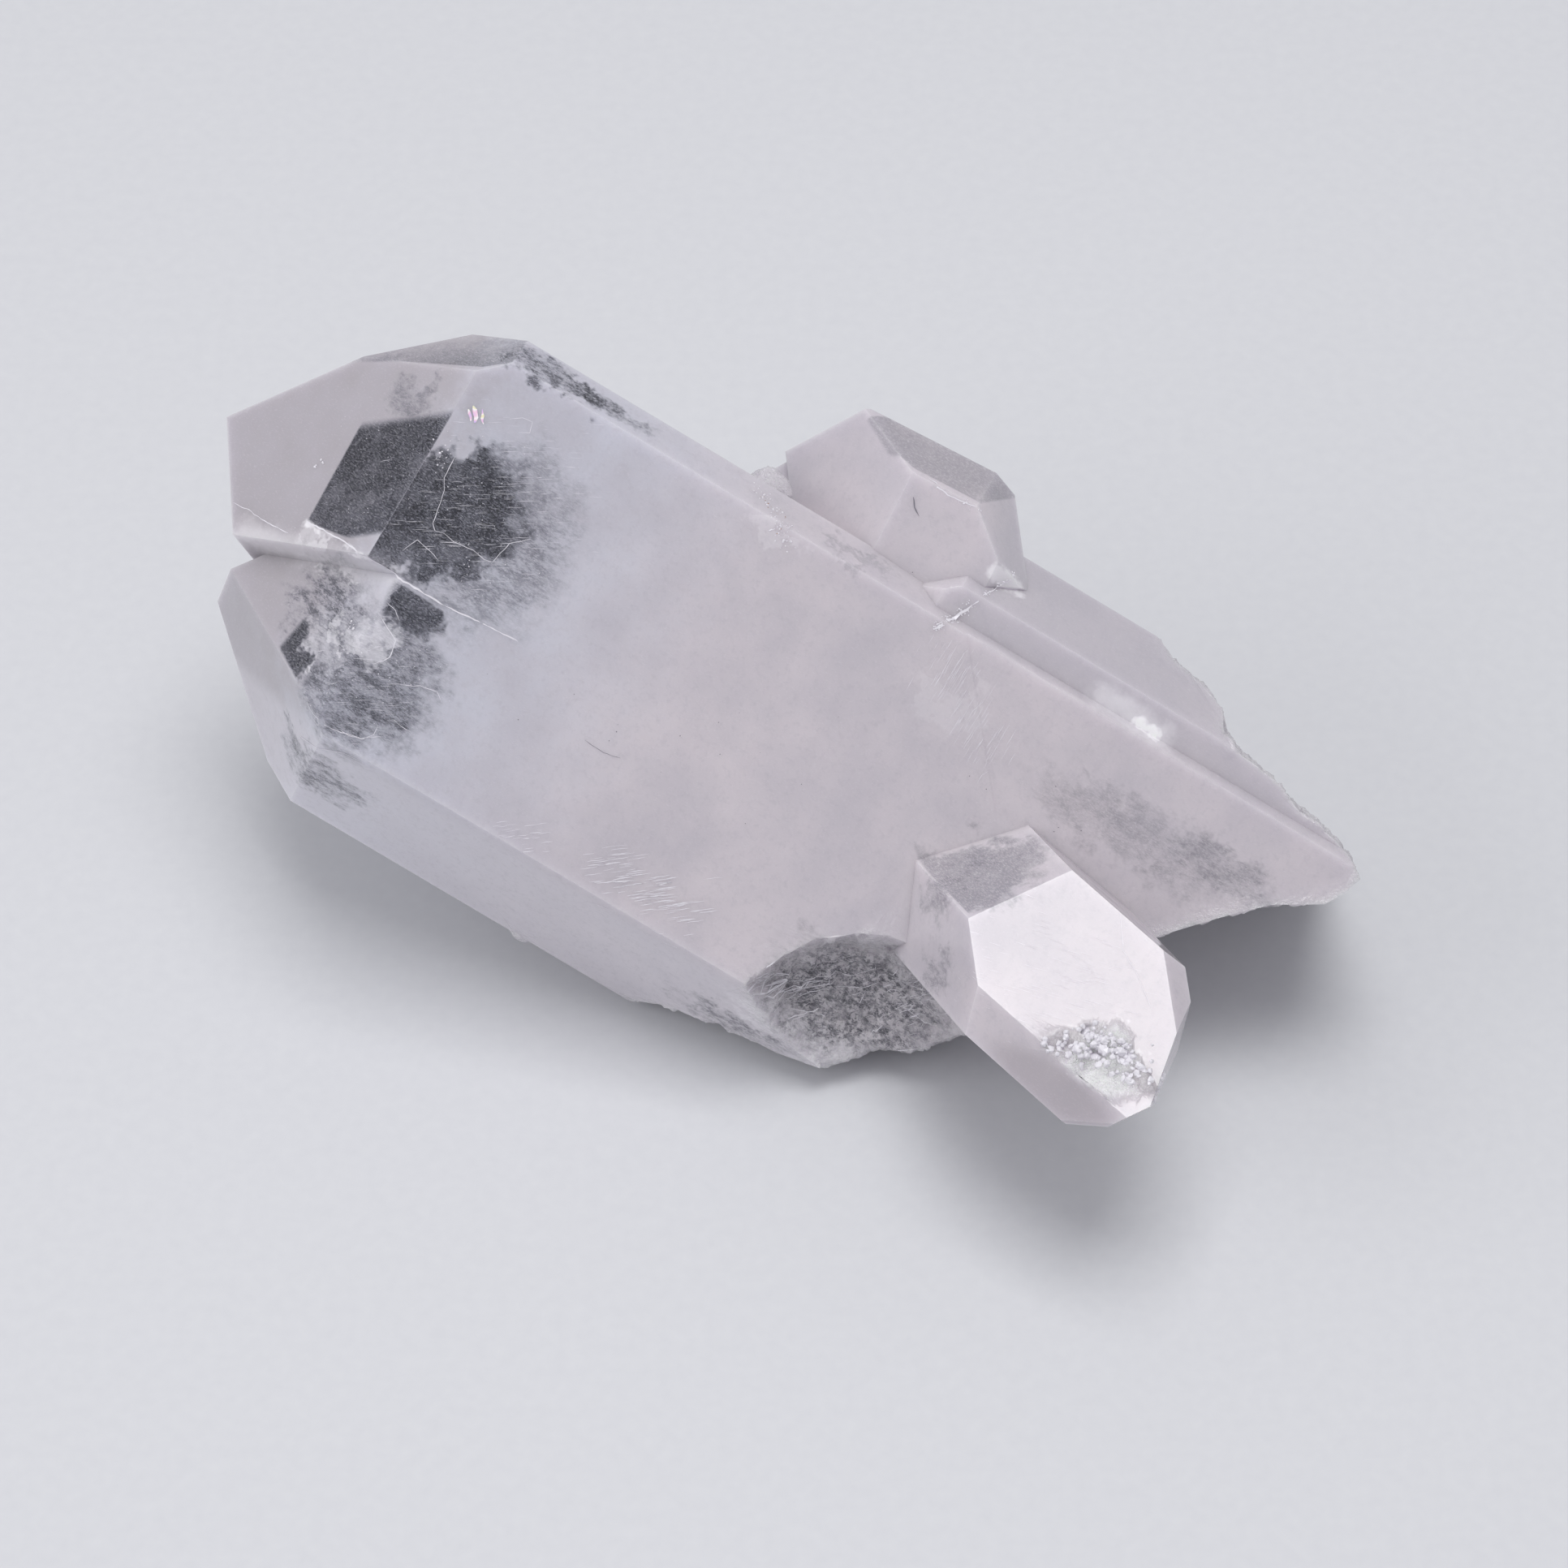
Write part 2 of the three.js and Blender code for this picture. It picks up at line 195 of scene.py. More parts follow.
# Crumpled white veils just under the face: a middle, three radii and how white.
WHITE_VEILS = [
    ((11.4, -8.0, -18.4), (2.2, 2.2, 2.4), 0.85),
    ((10.0, -10.2, -15.4), (2.0, 1.8, 1.8), 0.8),
    ((8.6, -4.4, -11.8), (3.2, 1.3, 4.2), 0.8),
    ((8.0, -8.8, -12.6), (1.5, 1.2, 1.8), 0.7),
    ((11.9, 7.6, -16.4), (1.2, 1.6, 1.0), 0.8),
    ((11.0, 14.4, -40.0), (2.0, 1.1, 2.8), 0.3),
    ((8.0, -17.5, -63.0), (3.5, 1.6, 9.0), 0.7),
    ((25.6, -5.2, -79.0), (1.8, 2.0, 4.0), 0.8),
    ((11.9, 10.4, -57.5), (1.5, 3.0, 3.6), 0.2),
    ((-4.3, 5.0, -22.0), (2.0, 3.0, 5.0), 0.7),
    ((-5.0, 16.0, -60.0), (3.0, 2.0, 5.0), 0.6),
]

# White streaks under the face: two ends, half the width, how softly the streak fades and how white it is.
# The wide one at the notch by the tip is painted light on the notch's low step, which faces down.
WHITE_STREAKS = [
    # Painted light: whitens the notch's low step at the tip, so that it looks lit like the face beside it.
    ((4.4, -6.6, -6.0), (11.6, -3.4, -16.6), 0.2, 1.8, 0.4),
    ((7.6, -3.3, -9.8), (11.7, -3.0, -15.6), 0.1, 0.5, 0.8),
    ((10.8, 16.1, -70.6), (11.1, 15.9, -72.6), 0.2, 0.6, 1.0),
    ((10.8, 16.2, -67.5), (11.0, 15.9, -72.8), 0.2, 1.4, 0.45),
    ((9.2, 20.0, -56.0), (8.3, 20.1, -57.8), 0.5, 0.6, 0.6),
]

# The crack below the stub, in two parts.
STUB_CRACK_LOW = [(11.9, 14.2, -54.0), (11.2, 15.4, -54.7), (10.8, 17.1, -55.5)]
STUB_CRACK_HIGH = [(10.8, 17.1, -55.5), (9.4, 18.8, -56.4), (8.0, 20.7, -57.2)]

# Fine white cracks and growth lines that show at the surface, and a painted glint on the stub's ridge: how
# wide each is, then its course.
WHITE_LINES = [
    (0.14, [
        (7.7, -3.1, -9.8), (9.0, -2.9, -11.4), (10.2, -2.8, -13.0), (11.6, -2.8, -15.2), (11.8, -2.9, -16.8),
    ]),
    # Painted glint: a bright line along the stub's ridge.
    (0.12, [(8.6, 23.4, -48.0), (9.1, 23.2, -49.8), (9.3, 23.5, -52.1)]),
    (0.18, [(11.8, -2.9, -16.8), (11.8, -2.9, -18.1), (11.8, -2.9, -19.9), (11.8, -2.9, -21.9)]),
    (0.12, [(11.8, -2.9, -21.9), (11.9, -2.6, -25.1), (11.9, -2.4, -28.0)]),
    (0.05, [
        (11.9, 7.0, -17.0), (11.9, 5.2, -17.1), (11.9, 4.4, -17.6), (11.9, 2.9, -17.9), (11.9, 1.9, -18.1),
        (11.9, 1.5, -18.5), (11.9, 1.7, -19.2), (11.9, 1.5, -20.1), (11.9, 1.6, -20.8), (11.9, 1.7, -21.7),
        (11.9, 1.5, -22.7), (11.9, 1.7, -23.3), (11.9, 2.6, -23.5), (11.9, 3.5, -23.7), (11.9, 4.6, -24.9),
    ]),
    (0.05, [
        (11.9, 11.4, -19.0), (11.9, 12.0, -19.8), (11.9, 12.1, -20.6), (11.9, 11.3, -20.8),
        (11.9, 10.9, -20.1),
    ]),
    (0.05, [(11.9, -1.0, -17.2), (11.9, 0.3, -17.7), (11.9, 0.0, -19.0), (11.9, -0.3, -19.9)]),
    (0.09, [(3.1, -5.1, -4.0), (4.1, -4.9, -5.2), (5.6, -4.9, -7.1), (7.0, -4.6, -9.0)]),
    (0.08, [(6.6, -17.4, -17.4), (9.5, -17.1, -19.2), (11.0, -16.3, -21.0), (11.3, -16.1, -22.7)]),
    (0.06, [(10.6, -15.2, -17.6), (11.8, -15.1, -19.4), (11.8, -14.6, -21.6), (11.8, -13.7, -22.8)]),
    (0.28, STUB_CRACK_LOW),
    (0.10, STUB_CRACK_HIGH),
    (0.10, [(-4.3, 3.5, -23.0), (-4.3, 1.0, -25.5), (-4.3, -1.5, -27.5), (-4.8, -4.5, -29.0)]),
    (0.08, [(-9.3, -2.0, -36.5), (-10.5, 1.5, -38.0), (-12.0, 4.5, -39.5)]),
    (0.07, [(11.8, -6.1, -18.3), (11.8, -7.0, -20.1), (11.8, -8.3, -20.4), (11.8, -9.4, -19.6)]),
    (0.06, [(11.8, -4.9, -18.2), (11.8, -5.1, -19.0), (11.8, -5.6, -19.6)]),
    (0.05, [
        (11.8, -14.8, -19.9), (11.8, -14.9, -20.7), (11.8, -14.6, -21.7), (11.8, -13.9, -22.3),
        (11.8, -13.1, -22.2),
    ]),
    (0.05, [(11.9, -12.1, -22.9), (11.9, -12.3, -23.7), (11.9, -12.3, -24.5)]),
    (0.05, [(11.8, -9.7, -22.0), (11.9, -9.0, -23.4), (11.9, -8.7, -24.7), (11.9, -9.2, -25.4)]),
    (0.08, [(10.6, -14.1, -16.5), (10.9, -14.9, -17.2), (11.8, -15.0, -18.1)]),
    (0.05, [(20.5, 3.6, -75.8), (21.8, 1.5, -77.2), (22.6, 0.7, -78.7), (24.0, -0.9, -80.9)]),
]

# Dark hairlines: a scratch on the front face and a flaw in the stub.
DARK_LINES = [
    (0.05, [(11.9, -6.2, -35.9), (11.9, -6.3, -37.6), (11.9, -6.0, -38.9)]),
    (0.14, [(8.9, 21.7, -47.7), (8.9, 21.1, -48.2), (9.0, 20.7, -48.8)]),
]

# Patches of short white growth strokes: a course, how far they stray from it, the way they run, the longest
# stroke, how wide each is and how many there are.
STROKES = [
    ([(11.9, -13.6, -41.2), (11.9, -13.9, -49.5)], 1.0, (0, 0.62, -0.78), 1.9, 0.07, 110),
    ([(11.9, -14.9, -33.6), (11.9, -14.9, -37.0)], 0.5, (0, 0.62, -0.78), 1.0, 0.06, 30),
    ([(11.0, -15.4, -56.0), (8.0, -16.2, -60.5)], 0.7, (0, 0.62, -0.78), 2.2, 0.08, 60),
    ([(9.0, -13.0, -60.0), (8.0, -10.0, -69.0)], 1.8, (0.2, 0.8, -0.6), 1.6, 0.06, 120),
    ([(11.9, 6.0, -17.5), (11.9, 9.5, -24.5)], 2.2, (0, 0.5, -0.87), 1.2, 0.028, 90),
    ([(11.9, 1.0, -16.5), (11.9, 4.0, -23.0)], 2.0, (0, 0.5, -0.87), 1.4, 0.026, 90),
    ([(11.6, -9.0, -18.0), (11.6, -13.0, -21.0)], 1.8, (0, 0.5, -0.87), 1.2, 0.028, 80),
    ([(21.5, -4.0, -68.5), (24.5, -2.0, -78.0)], 2.2, (0.18, 0.29, -0.94), 1.6, 0.03, 110),
    ([(11.9, 12.6, -54.9), (11.9, 7.4, -62.5)], 0.9, (0, 1, 0), 1.8, 0.03, 110),
    ([(-4.3, -6.0, -18.0), (-4.3, 6.0, -30.0)], 2.5, (0, 1, 0), 2.4, 0.035, 80),
    ([(-15.2, 3.0, -46.0), (-15.2, 6.0, -58.0)], 1.6, (0, 1, 0), 2.0, 0.035, 60),
]

# Crumbs on the surface, and a few that paint a glint on the stub's ridge: a course, how far they stray from
# it, their size and how many there are.
WHITE_CRUMBS = [
    (STUB_CRACK_LOW, 0.2, 0.07, 90),
    (STUB_CRACK_HIGH, 0.12, 0.09, 30),
    ([(9.6, 16.4, -37.5), (10.5, 15.9, -38.8), (11.9, 15.1, -39.9), (11.9, 14.0, -41.5)], 0.4, 0.07, 90),
    ([(6.5, 0.7, -8.2), (6.6, 1.1, -8.4)], 0.2, 0.11, 5),
    ([(11.9, 7.2, -15.8), (11.9, 6.0, -16.4)], 0.3, 0.08, 14),
    ([(-4.3, 9.5, -33.0), (-4.2, 3.0, -36.5)], 0.3, 0.07, 50),
    ([(7.7, -1.0, -10.0), (11.9, 6.5, -15.0)], 1.8, 0.035, 60),
    ([(11.9, 5.0, -16.5), (11.9, 1.5, -24.0)], 2.4, 0.04, 110),
    ([(11.5, -11.0, -17.5), (11.9, -7.0, -23.0)], 2.0, 0.04, 70),
    # Painted glint: white crumbs at the lower end of the stub's ridge.
    ([(9.1, 23.4, -51.0), (9.3, 23.5, -52.4)], 0.15, 0.09, 12),
    ([(10.6, -7.9, -16.4), (11.2, -8.2, -17.2)], 0.25, 0.09, 8),
    ([(24.9, -6.4, -76.2), (25.4, -5.0, -79.9), (26.0, -5.4, -83.6)], 0.55, 0.30, 130),
    ([(24.4, -4.6, -77.0), (25.6, -4.2, -81.5)], 0.45, 0.20, 70),
]
STAINED_CRUMBS = [([(10.2, 16.1, -38.3), (11.9, 14.2, -41.2)], 0.3, 0.05, 16)]
DARK_SPECKS = [
    ([(11.9, -9.0, -34.0), (11.9, 8.0, -56.0)], 4.0, 0.045, 20),
    ([(11.9, 6.0, -62.0), (11.9, 9.5, -80.0)], 1.4, 0.045, 8),
]

# A painted reflection: a fleck of rainbow with a white glint, where a crack just under the face is a few
# wavelengths wide, given as the cracks are.
PAINTED_RAINBOW_GLINT = [
    (0.55, [(11.9, 10.9, -16.3), (11.9, 10.3, -16.9), (11.9, 9.8, -17.0)]),
    (0.40, [(11.9, 10.5, -16.1), (11.9, 9.9, -16.6)]),
    (0.30, [(11.9, 11.0, -17.0), (11.9, 10.4, -17.3), (11.9, 10.1, -17.6)]),
]

# Buds of quartz that stay smooth and round: a middle and a radius, in the part's own frame.
BUDS = [((-19.5, -1.1, 4.2), 2.2), ((-0.8, 18.2, 32.3), 2.6)]

# Where the front crystal's tip is knocked to crumbs, in that crystal's own directions: a middle and radii.
CRUMBLED = {"middle": (-1.9, 0.0, 12.0), "radii": (2.6, 2.9, 3.4)}

# The lower left flank of the front crystal, painted darker as shade, in the blade's directions: a middle and
# radii.
PAINTED_SHADE_FLANK = {"middle": (25.4, -9.6, -77.0), "radii": (4.0, 2.2, 7.5)}

# The clear and white features at the tip end here along the blade. Their wandering borders stray this far.
TIP_ENDS = -35.0
FEATURES_STRAY = 4.0

# The camera, in the part's own frame.
CAMERA_AT = (0.37, -234.80, 299.54)
CAMERA_LOOKS_AT = (0.37, -3.40, 23.76)
CAMERA_LENS = 111.8


def linear(hex_colour):
    """An sRGB hex colour as linear RGBA."""
    parts = [int(hex_colour[i : i + 2], 16) / 255 for i in (1, 3, 5)]
    return (*[c / 12.92 if c <= 0.04045 else ((c + 0.055) / 1.055) ** 2.4 for c in parts], 1.0)


def crystal_axes(heading, rise, turn, **_):
    """A crystal's own directions as the columns of a matrix. The third one runs along its length."""
    h, r, t = (math.radians(angle) for angle in (heading, rise, turn))
    along = Vector((math.cos(r) * math.cos(h), math.cos(r) * math.sin(h), math.sin(r)))
    up = Vector((-math.sin(r) * math.cos(h), -math.sin(r) * math.sin(h), math.cos(r)))
    side = Vector((-math.sin(h), math.cos(h), 0))
    x = up * math.cos(t) - side * math.sin(t)
    y = -up * math.sin(t) - side * math.cos(t)
    return Matrix((x, y, along)).transposed()


def crystal_normals(crystal):
    """The outward directions that a crystal's faces can have: six prism faces and six at each end."""
    axes = np.array(crystal_axes(**crystal))
    lean = math.radians(TIP_FACE_LEAN)
    rows = []
    for k in range(6):
        out = np.array([math.cos(math.radians(60 * k)), math.sin(math.radians(60 * k)), 0])
        for rise in (0, lean, -lean):
            rows.append(axes @ (out * math.cos(rise) + np.array([0, 0, math.sin(rise)])))
    return np.array(rows)


# ---- The quartz's surface ----

# In millimetres: the longest sides of triangles on flat faces, at creases and on breaks, how low a sliver
# is, and how close points lie that are really one.
FACE_STEP = 2.4
EDGE_STEP = 0.6
BREAK_STEP = 0.45
SLIVER = 0.02
WELD = 0.002

# In degrees: how far a grown face may lean from a crystal's own direction, what counts as a crease, and how
# far triangles of one face may lean from each other.
FLAT_ANGLE = 1.6
CREASE_ANGLE = 20
ONE_FACE_ANGLE = 0.3

# How often values are averaged with their neighbours': under the relief, and at the edge of a mask. Then how
# often slivers take after their neighbours, since some lie side by side.
BREAK_ROUNDS = 10
MASK_ROUNDS = 2
SLIVER_ROUNDS = 4

# The relief of the breaks: facets about two millimetres across with grain on them, and crumbs about a
# millimetre across where the quartz is crushed. Heights are in millimetres.
FACETS_PER_MM, FACET_HEIGHT = 0.55, 0.7
GRAIN_PER_MM, GRAIN_HEIGHT = 1.1, 0.2
CRUMBS_PER_MM, CRUMB_HEIGHT = 0.95, 0.75
FINE_CRUMBS_PER_MM, FINE_CRUMB_HEIGHT = 2.3, 0.25
BUD_RELIEF = 0.35

# So large that even facets side by side tilt in unlike directions.
UNLIKE = 37

# The crumbled tip: how many radii out its mesh is fine, and how its ragged border wanders.
CRUMBS_REACH = 1.6
RAGGED_PER_MM, RAGGED_BY = 0.8, 0.5

# Boxes in the blade's directions that hold the small steps on its face, and the lean of the face there.
SMOOTH_STEPS = [
    ((11.4, -3.4, -30.0), (12.1, -2.0, -15.2), 0),
    ((11.4, 3.0, -80.0), (12.1, 18.0, -54.0), 0),
    ((2.0, -6.5, -15.2), (12.0, -2.2, -2.0), TIP_FACE_LEAN),
]

# Boxes that hold the steps on the front face, which lies at this x. They're worn down to a share of their
# depth.
FRONT_FACE = 11.9
WORN_STEPS = [((11.5, 4.5, -78.0), (11.899, 16.5, -55.0)), ((11.5, -30.0, -28.2), (11.899, -2.4, -19.0))]
WORN_TO = 0.2


def face_normals(points, faces):
    """The outward direction of every triangle."""
    a, b, c = (points[faces[:, i]] for i in range(3))
    cross = np.cross(b - a, c - a)
    return cross / np.maximum(np.linalg.norm(cross, axis=1, keepdims=True), 1e-12)


def edges_of(faces):
    """Every edge once, the edge on each side of every triangle, and the two triangles at each edge."""
    sides = np.concatenate([faces[:, [0, 1]], faces[:, [1, 2]], faces[:, [2, 0]]])
    edges, side_edge = np.unique(np.sort(sides, axis=1), axis=0, return_inverse=True)
    side_edge = side_edge.reshape(-1)
    order = np.argsort(side_edge, kind="stable")
    pairs = (order % len(faces)).reshape(-1, 2)
    return edges, side_edge.reshape(3, -1).T, pairs


def in_crystal(crystal, points):
    """Points of the part, in metres, as places in a crystal's own directions, in millimetres."""
    return (points / MM - np.array(crystal["at"])) @ np.array(crystal_axes(**crystal))


def near_crumbs(points):
    """How far points lie from the crumbled tip, as a share of its radii."""
    away = (in_crystal(FRONT_CRYSTAL, points) - CRUMBLED["middle"]) / np.array(CRUMBLED["radii"])
    return np.linalg.norm(away, axis=-1)


def split_long_edges(points, faces, plane, broken):
    """Halves long edges until creases and broken faces have fine triangles. Flat faces keep coarse ones.

    Each new triangle keeps the plane normal of the face that it came from.
    """
    while True:
        edges, side_edge, pairs = edges_of(faces)
        bend = (plane[pairs[:, 0]] * plane[pairs[:, 1]]).sum(1)
        step = np.where(bend < math.cos(math.radians(CREASE_ANGLE)), EDGE_STEP, FACE_STEP)
        crumbled = near_crumbs(points[edges].mean(1)) < CRUMBS_REACH
        step = np.where(broken[pairs].any(1) | crumbled, BREAK_STEP, step)
        length = np.linalg.norm(points[edges[:, 0]] - points[edges[:, 1]], axis=1)
        long = length > step * MM
        if not long.any():
            return points, faces, plane, broken
        middle = np.cumsum(long) - 1 + len(points)
        points = np.concatenate([points, points[edges[long]].mean(1)])
        marked = long[side_edge]
        halfway = middle[side_edge]
        made = [faces[marked.sum(1) == 0]]
        parent = [np.flatnonzero(marked.sum(1) == 0)]
        for count in (1, 2, 3):
            for turn in range(3):
                which = (marked.sum(1) == count) & (marked[:, turn] if count == 1 else ~marked[:, turn - 1])
                if count == 3:
                    which = (marked.sum(1) == 3) & (turn == 0)
                order = [turn, (turn + 1) % 3, (turn + 2) % 3]
                a, b, c = faces[which][:, order].T
                ab, bc, ca = halfway[which][:, order].T
                if count == 1:
                    new = [(a, ab, c), (ab, b, c)]
                elif count == 2:
                    new = [(b, bc, ab), (a, ab, bc), (a, bc, c)]
                else:
                    new = [(a, ab, ca), (ab, b, bc), (ca, bc, c), (ab, bc, ca)]
                made += [np.stack(corners, 1) for corners in new]
                parent += [np.flatnonzero(which)] * len(new)
        faces, parent = np.concatenate(made), np.concatenate(parent)
        plane, broken = plane[parent], broken[parent]


def cad_triangles(node):
    """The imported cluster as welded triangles, each one's plane normal, and which of them are broken."""
    bm = bmesh.new()
    bm.from_mesh(node.data)
    bmesh.ops.remove_doubles(bm, verts=bm.verts, dist=WELD * MM)
    bmesh.ops.dissolve_limit(bm, angle_limit=math.radians(ONE_FACE_ANGLE), verts=bm.verts, edges=bm.edges)
    bm.normal_update()
    plane_of = bm.faces.layers.float_vector.new("plane")
    for face in bm.faces:
        face[plane_of] = face.normal
    bmesh.ops.triangulate(bm, faces=bm.faces)
    points = np.array([v.co for v in bm.verts])
    faces = np.array([[v.index for v in f.verts] for f in bm.faces])
    plane = np.array([f[plane_of] for f in bm.faces])
    bm.free()
    grown = np.concatenate([crystal_normals(c) for c in (BLADE, STUB, FRONT_CRYSTAL)])
    near = plane @ grown.T
    broken = near.max(1) < math.cos(math.radians(FLAT_ANGLE))
    plane[~broken] = grown[near.argmax(1)][~broken]

    # A sliver's own normal means nothing, so it takes after the triangle across its longest side.
    _, side_edge, pairs = edges_of(faces)
    sides = np.stack([points[faces[:, i]] - points[faces[:, i - 2]] for i in range(3)], 1)
    lengths = np.linalg.norm(sides, axis=2)
    height = np.linalg.norm(np.cross(sides[:, 0], sides[:, 1]), axis=1) / lengths.max(1)
    both = pairs[side_edge[np.arange(len(faces)), lengths.argmax(1)]]
    across = np.where(both[:, 0] == np.arange(len(faces)), both[:, 1], both[:, 0])
    sliver = height < SLIVER * MM
    for _ in range(SLIVER_ROUNDS):
        plane[sliver], broken[sliver] = plane[across[sliver]], broken[across[sliver]]

    # The low steps at the seam and the ledge are glassy, and take the light like the faces beside them.
    middle = in_crystal(BLADE, points[faces]).mean(1)
    for low, high, leaning in SMOOTH_STEPS:
        step = broken & (middle > low).all(1) & (middle < high).all(1)
        lean = math.radians(leaning)
        plane[step] = np.array(crystal_axes(**BLADE)) @ [math.cos(lean), 0, math.sin(lean)]
        broken &= ~step
    return points, faces, plane, broken


def spread(values, edges, rounds):
    """Averages each point's value with its neighbours', so a sharp mask gets a soft edge."""
    for _ in range(rounds):
        total, count = values.copy(), np.ones(len(values))
        for here, there in (edges.T, edges.T[::-1]):
            np.add.at(total, here, values[there])
            np.add.at(count, here, 1)
        values = total / count.reshape(-1, *[1] * (values.ndim - 1))
    return values


def hackly(place):
    """The relief of broken quartz: small tilted facets with steps between them, in millimetres."""
    _, corners = noise.voronoi(place * FACETS_PER_MM)
    tilt = noise.cell_vector(corners[0] * UNLIKE) - Vector((0.5, 0.5, 0.5))
    facet = tilt.dot(place * FACETS_PER_MM - corners[0])
    grain = noise.fractal(place * GRAIN_PER_MM, 0.8, 2.1, 3)
    return FACET_HEIGHT * facet + GRAIN_HEIGHT * grain


def crumbly(place):
    """The relief of crushed quartz: round crumbs with finer ones on them, in millimetres."""
    coarse, _ = noise.voronoi(place * CRUMBS_PER_MM)
    fine, _ = noise.voronoi(place * FINE_CRUMBS_PER_MM)
    return CRUMB_HEIGHT * (0.5 - coarse[0]) + FINE_CRUMB_HEIGHT * (0.5 - fine[0])


def quartz_mesh(node):
    """The cluster's fine mesh: flat grown faces, rough breaks, a crumbled tip and a mask for each."""
    points, faces, plane, broken = cad_triangles(node)
    points, faces, plane, broken = split_long_edges(points, faces, plane, broken)

    def in_crumbs(places):
        ragged = np.array([noise.noise(Vector(place) / MM * RAGGED_PER_MM) for place in places])
        return near_crumbs(places) + RAGGED_BY * ragged < 1

    broken = broken | in_crumbs(points[faces].mean(1))
    edges, _, _ = edges_of(faces)
    rough = np.ones(len(points), bool)
    rough[faces[~broken].ravel()] = False
    crushed = rough & in_crumbs(points)
    for _ in range(BREAK_ROUNDS):
        points = np.where((rough & ~crushed)[:, None], spread(points, edges, 1), points)
    outward = np.zeros_like(points)
    for i in range(3):
        np.add.at(outward, faces[:, i], face_normals(points, faces))
    outward /= np.maximum(np.linalg.norm(outward, axis=1, keepdims=True), 1e-12)

    push = np.zeros(len(points))
    for i in np.flatnonzero(rough):
        place = Vector(points[i]) / MM
        on_bud = any((place - Vector(bud)).length < radius for bud, radius in BUDS)
        push[i] = crumbly(place) if crushed[i] else hackly(place) * (BUD_RELIEF if on_bud else 1)
    points = points + outward * (push * MM)[:, None]
    points = np.clip(points, *cad_box)

    # The steps on the front face are worn down to hairlines.
    places = in_crystal(BLADE, points)
    for low, high in WORN_STEPS:
        worn = (places > low).all(1) & (places < high).all(1)
        places[worn, 0] = FRONT_FACE - WORN_TO * (FRONT_FACE - places[worn, 0])
        points[worn] = (places[worn] @ np.array(crystal_axes(**BLADE)).T + np.array(BLADE["at"])) * MM

    mesh = bpy.data.meshes.new("quartz")
    mesh.from_pydata(points.tolist(), [], faces.tolist())
    mesh.shade_smooth()
    a, b, c = (points[faces[broken, i]] for i in range(3))
    rounded = np.zeros_like(points)
    for i in range(3):
        np.add.at(rounded, faces[broken, i], np.cross(b - a, c - a))
    rounded /= np.maximum(np.linalg.norm(rounded, axis=1, keepdims=True), 1e-20)
    shading = np.repeat(plane[:, None, :], 3, axis=1)
    shading[broken] = rounded[faces[broken]]
    mesh.normals_split_custom_set(shading.reshape(-1, 3).tolist())
    for name, values in (
        ("broken", spread(rough.astype(float), edges, MASK_ROUNDS)),
        ("crushed", spread(crushed.astype(float), edges, MASK_ROUNDS)),
    ):
        layer = mesh.attributes.new(name, "FLOAT", "POINT")
        layer.data.foreach_set("value", values.astype(np.float32))
    return mesh


# ---- Lines and crumbs on the surface ----

# In millimetres: the steps along a line and how high it lies on the surface, how far a line one millimetre
# wide strays, and the steps along a course that strokes and crumbs are scattered from.
LINE_STEP = 0.25
LINE_LIFT = 0.03
LINE_STRAY = 0.25
SCATTER_STEP = 0.1

# How quickly a line's course and its width waver.
STRAY_PER_MM = 1.7
WAVER_PER_MM = 1.9

# How much of a crumb's radius is sunk in the surface.
CRUMB_SUNK = 0.3

# Where the random draws start. Without its seed, the noise that lines stray by differs from run to run.
STROKES_SEED = 5
CRUMBS_SEED = 11
NOISE_SEED = 3
noise.seed_set(NOISE_SEED)

TO_PART = crystal_axes(**BLADE)


def from_blade(place):
    """A place in the blade's own directions, in millimetres, as a point of the part in metres."""
    return (TO_PART @ Vector(place) + Vector(BLADE["at"])) * MM


def follow(places, step):
    """Points about one step apart along a course through some places."""
    found = []
    for a, b in zip(places, places[1:]):
        a, b = Vector(a), Vector(b)
        count = max(1, round((b - a).length / step))
        found += [a.lerp(b, i / count) for i in range(count)]
    return found + [Vector(places[-1])]


def lines_mesh(name, skin, lines):
    """Thin bands that lie on the surface. Each has a wavering course and width, and tapers at its ends."""
    points, faces = [], []
    for width, places in lines:
        course = []
        for place in follow(places, LINE_STEP):
            place = place + LINE_STRAY * width ** 0.5 * noise.noise_vector(place * STRAY_PER_MM)
            surface, normal, _, _ = skin.find_nearest(from_blade(place))
            course.append((surface + normal * LINE_LIFT * MM, normal))
        for i, (here, normal) in enumerate(course):
            onward = course[min(i + 1, len(course) - 1)][0] - course[max(i - 1, 0)][0]
            taper = min(1.0, 0.25 + 0.4 * min(i, len(course) - 1 - i))
            waver = 0.75 + 0.6 * noise.noise(here / MM * WAVER_PER_MM)
            side = onward.cross(normal).normalized() * (0.5 * width * MM * taper * waver)
            points += [here - side, here + side]
            if i:
                last = len(points) - 1
                faces.append((last - 3, last - 2, last, last - 1))
    mesh = bpy.data.meshes.new(name)
    mesh.from_pydata(points, [], faces)
    return mesh


def growth_strokes():
    """The short strokes of every patch, as lines."""
    rng = random.Random(STROKES_SEED)
    lines = []
    for places, stray, heading, longest, width, count in STROKES:
        course = follow(places, SCATTER_STEP)
        for _ in range(count):
            start = course[rng.randrange(len(course))] + Vector([rng.gauss(0, stray) for _ in range(3)])
            end = start + Vector(heading).normalized() * longest * rng.uniform(0.3, 1.0)
            lines.append((width * rng.uniform(0.6, 1.3), [start, end]))
    return lines


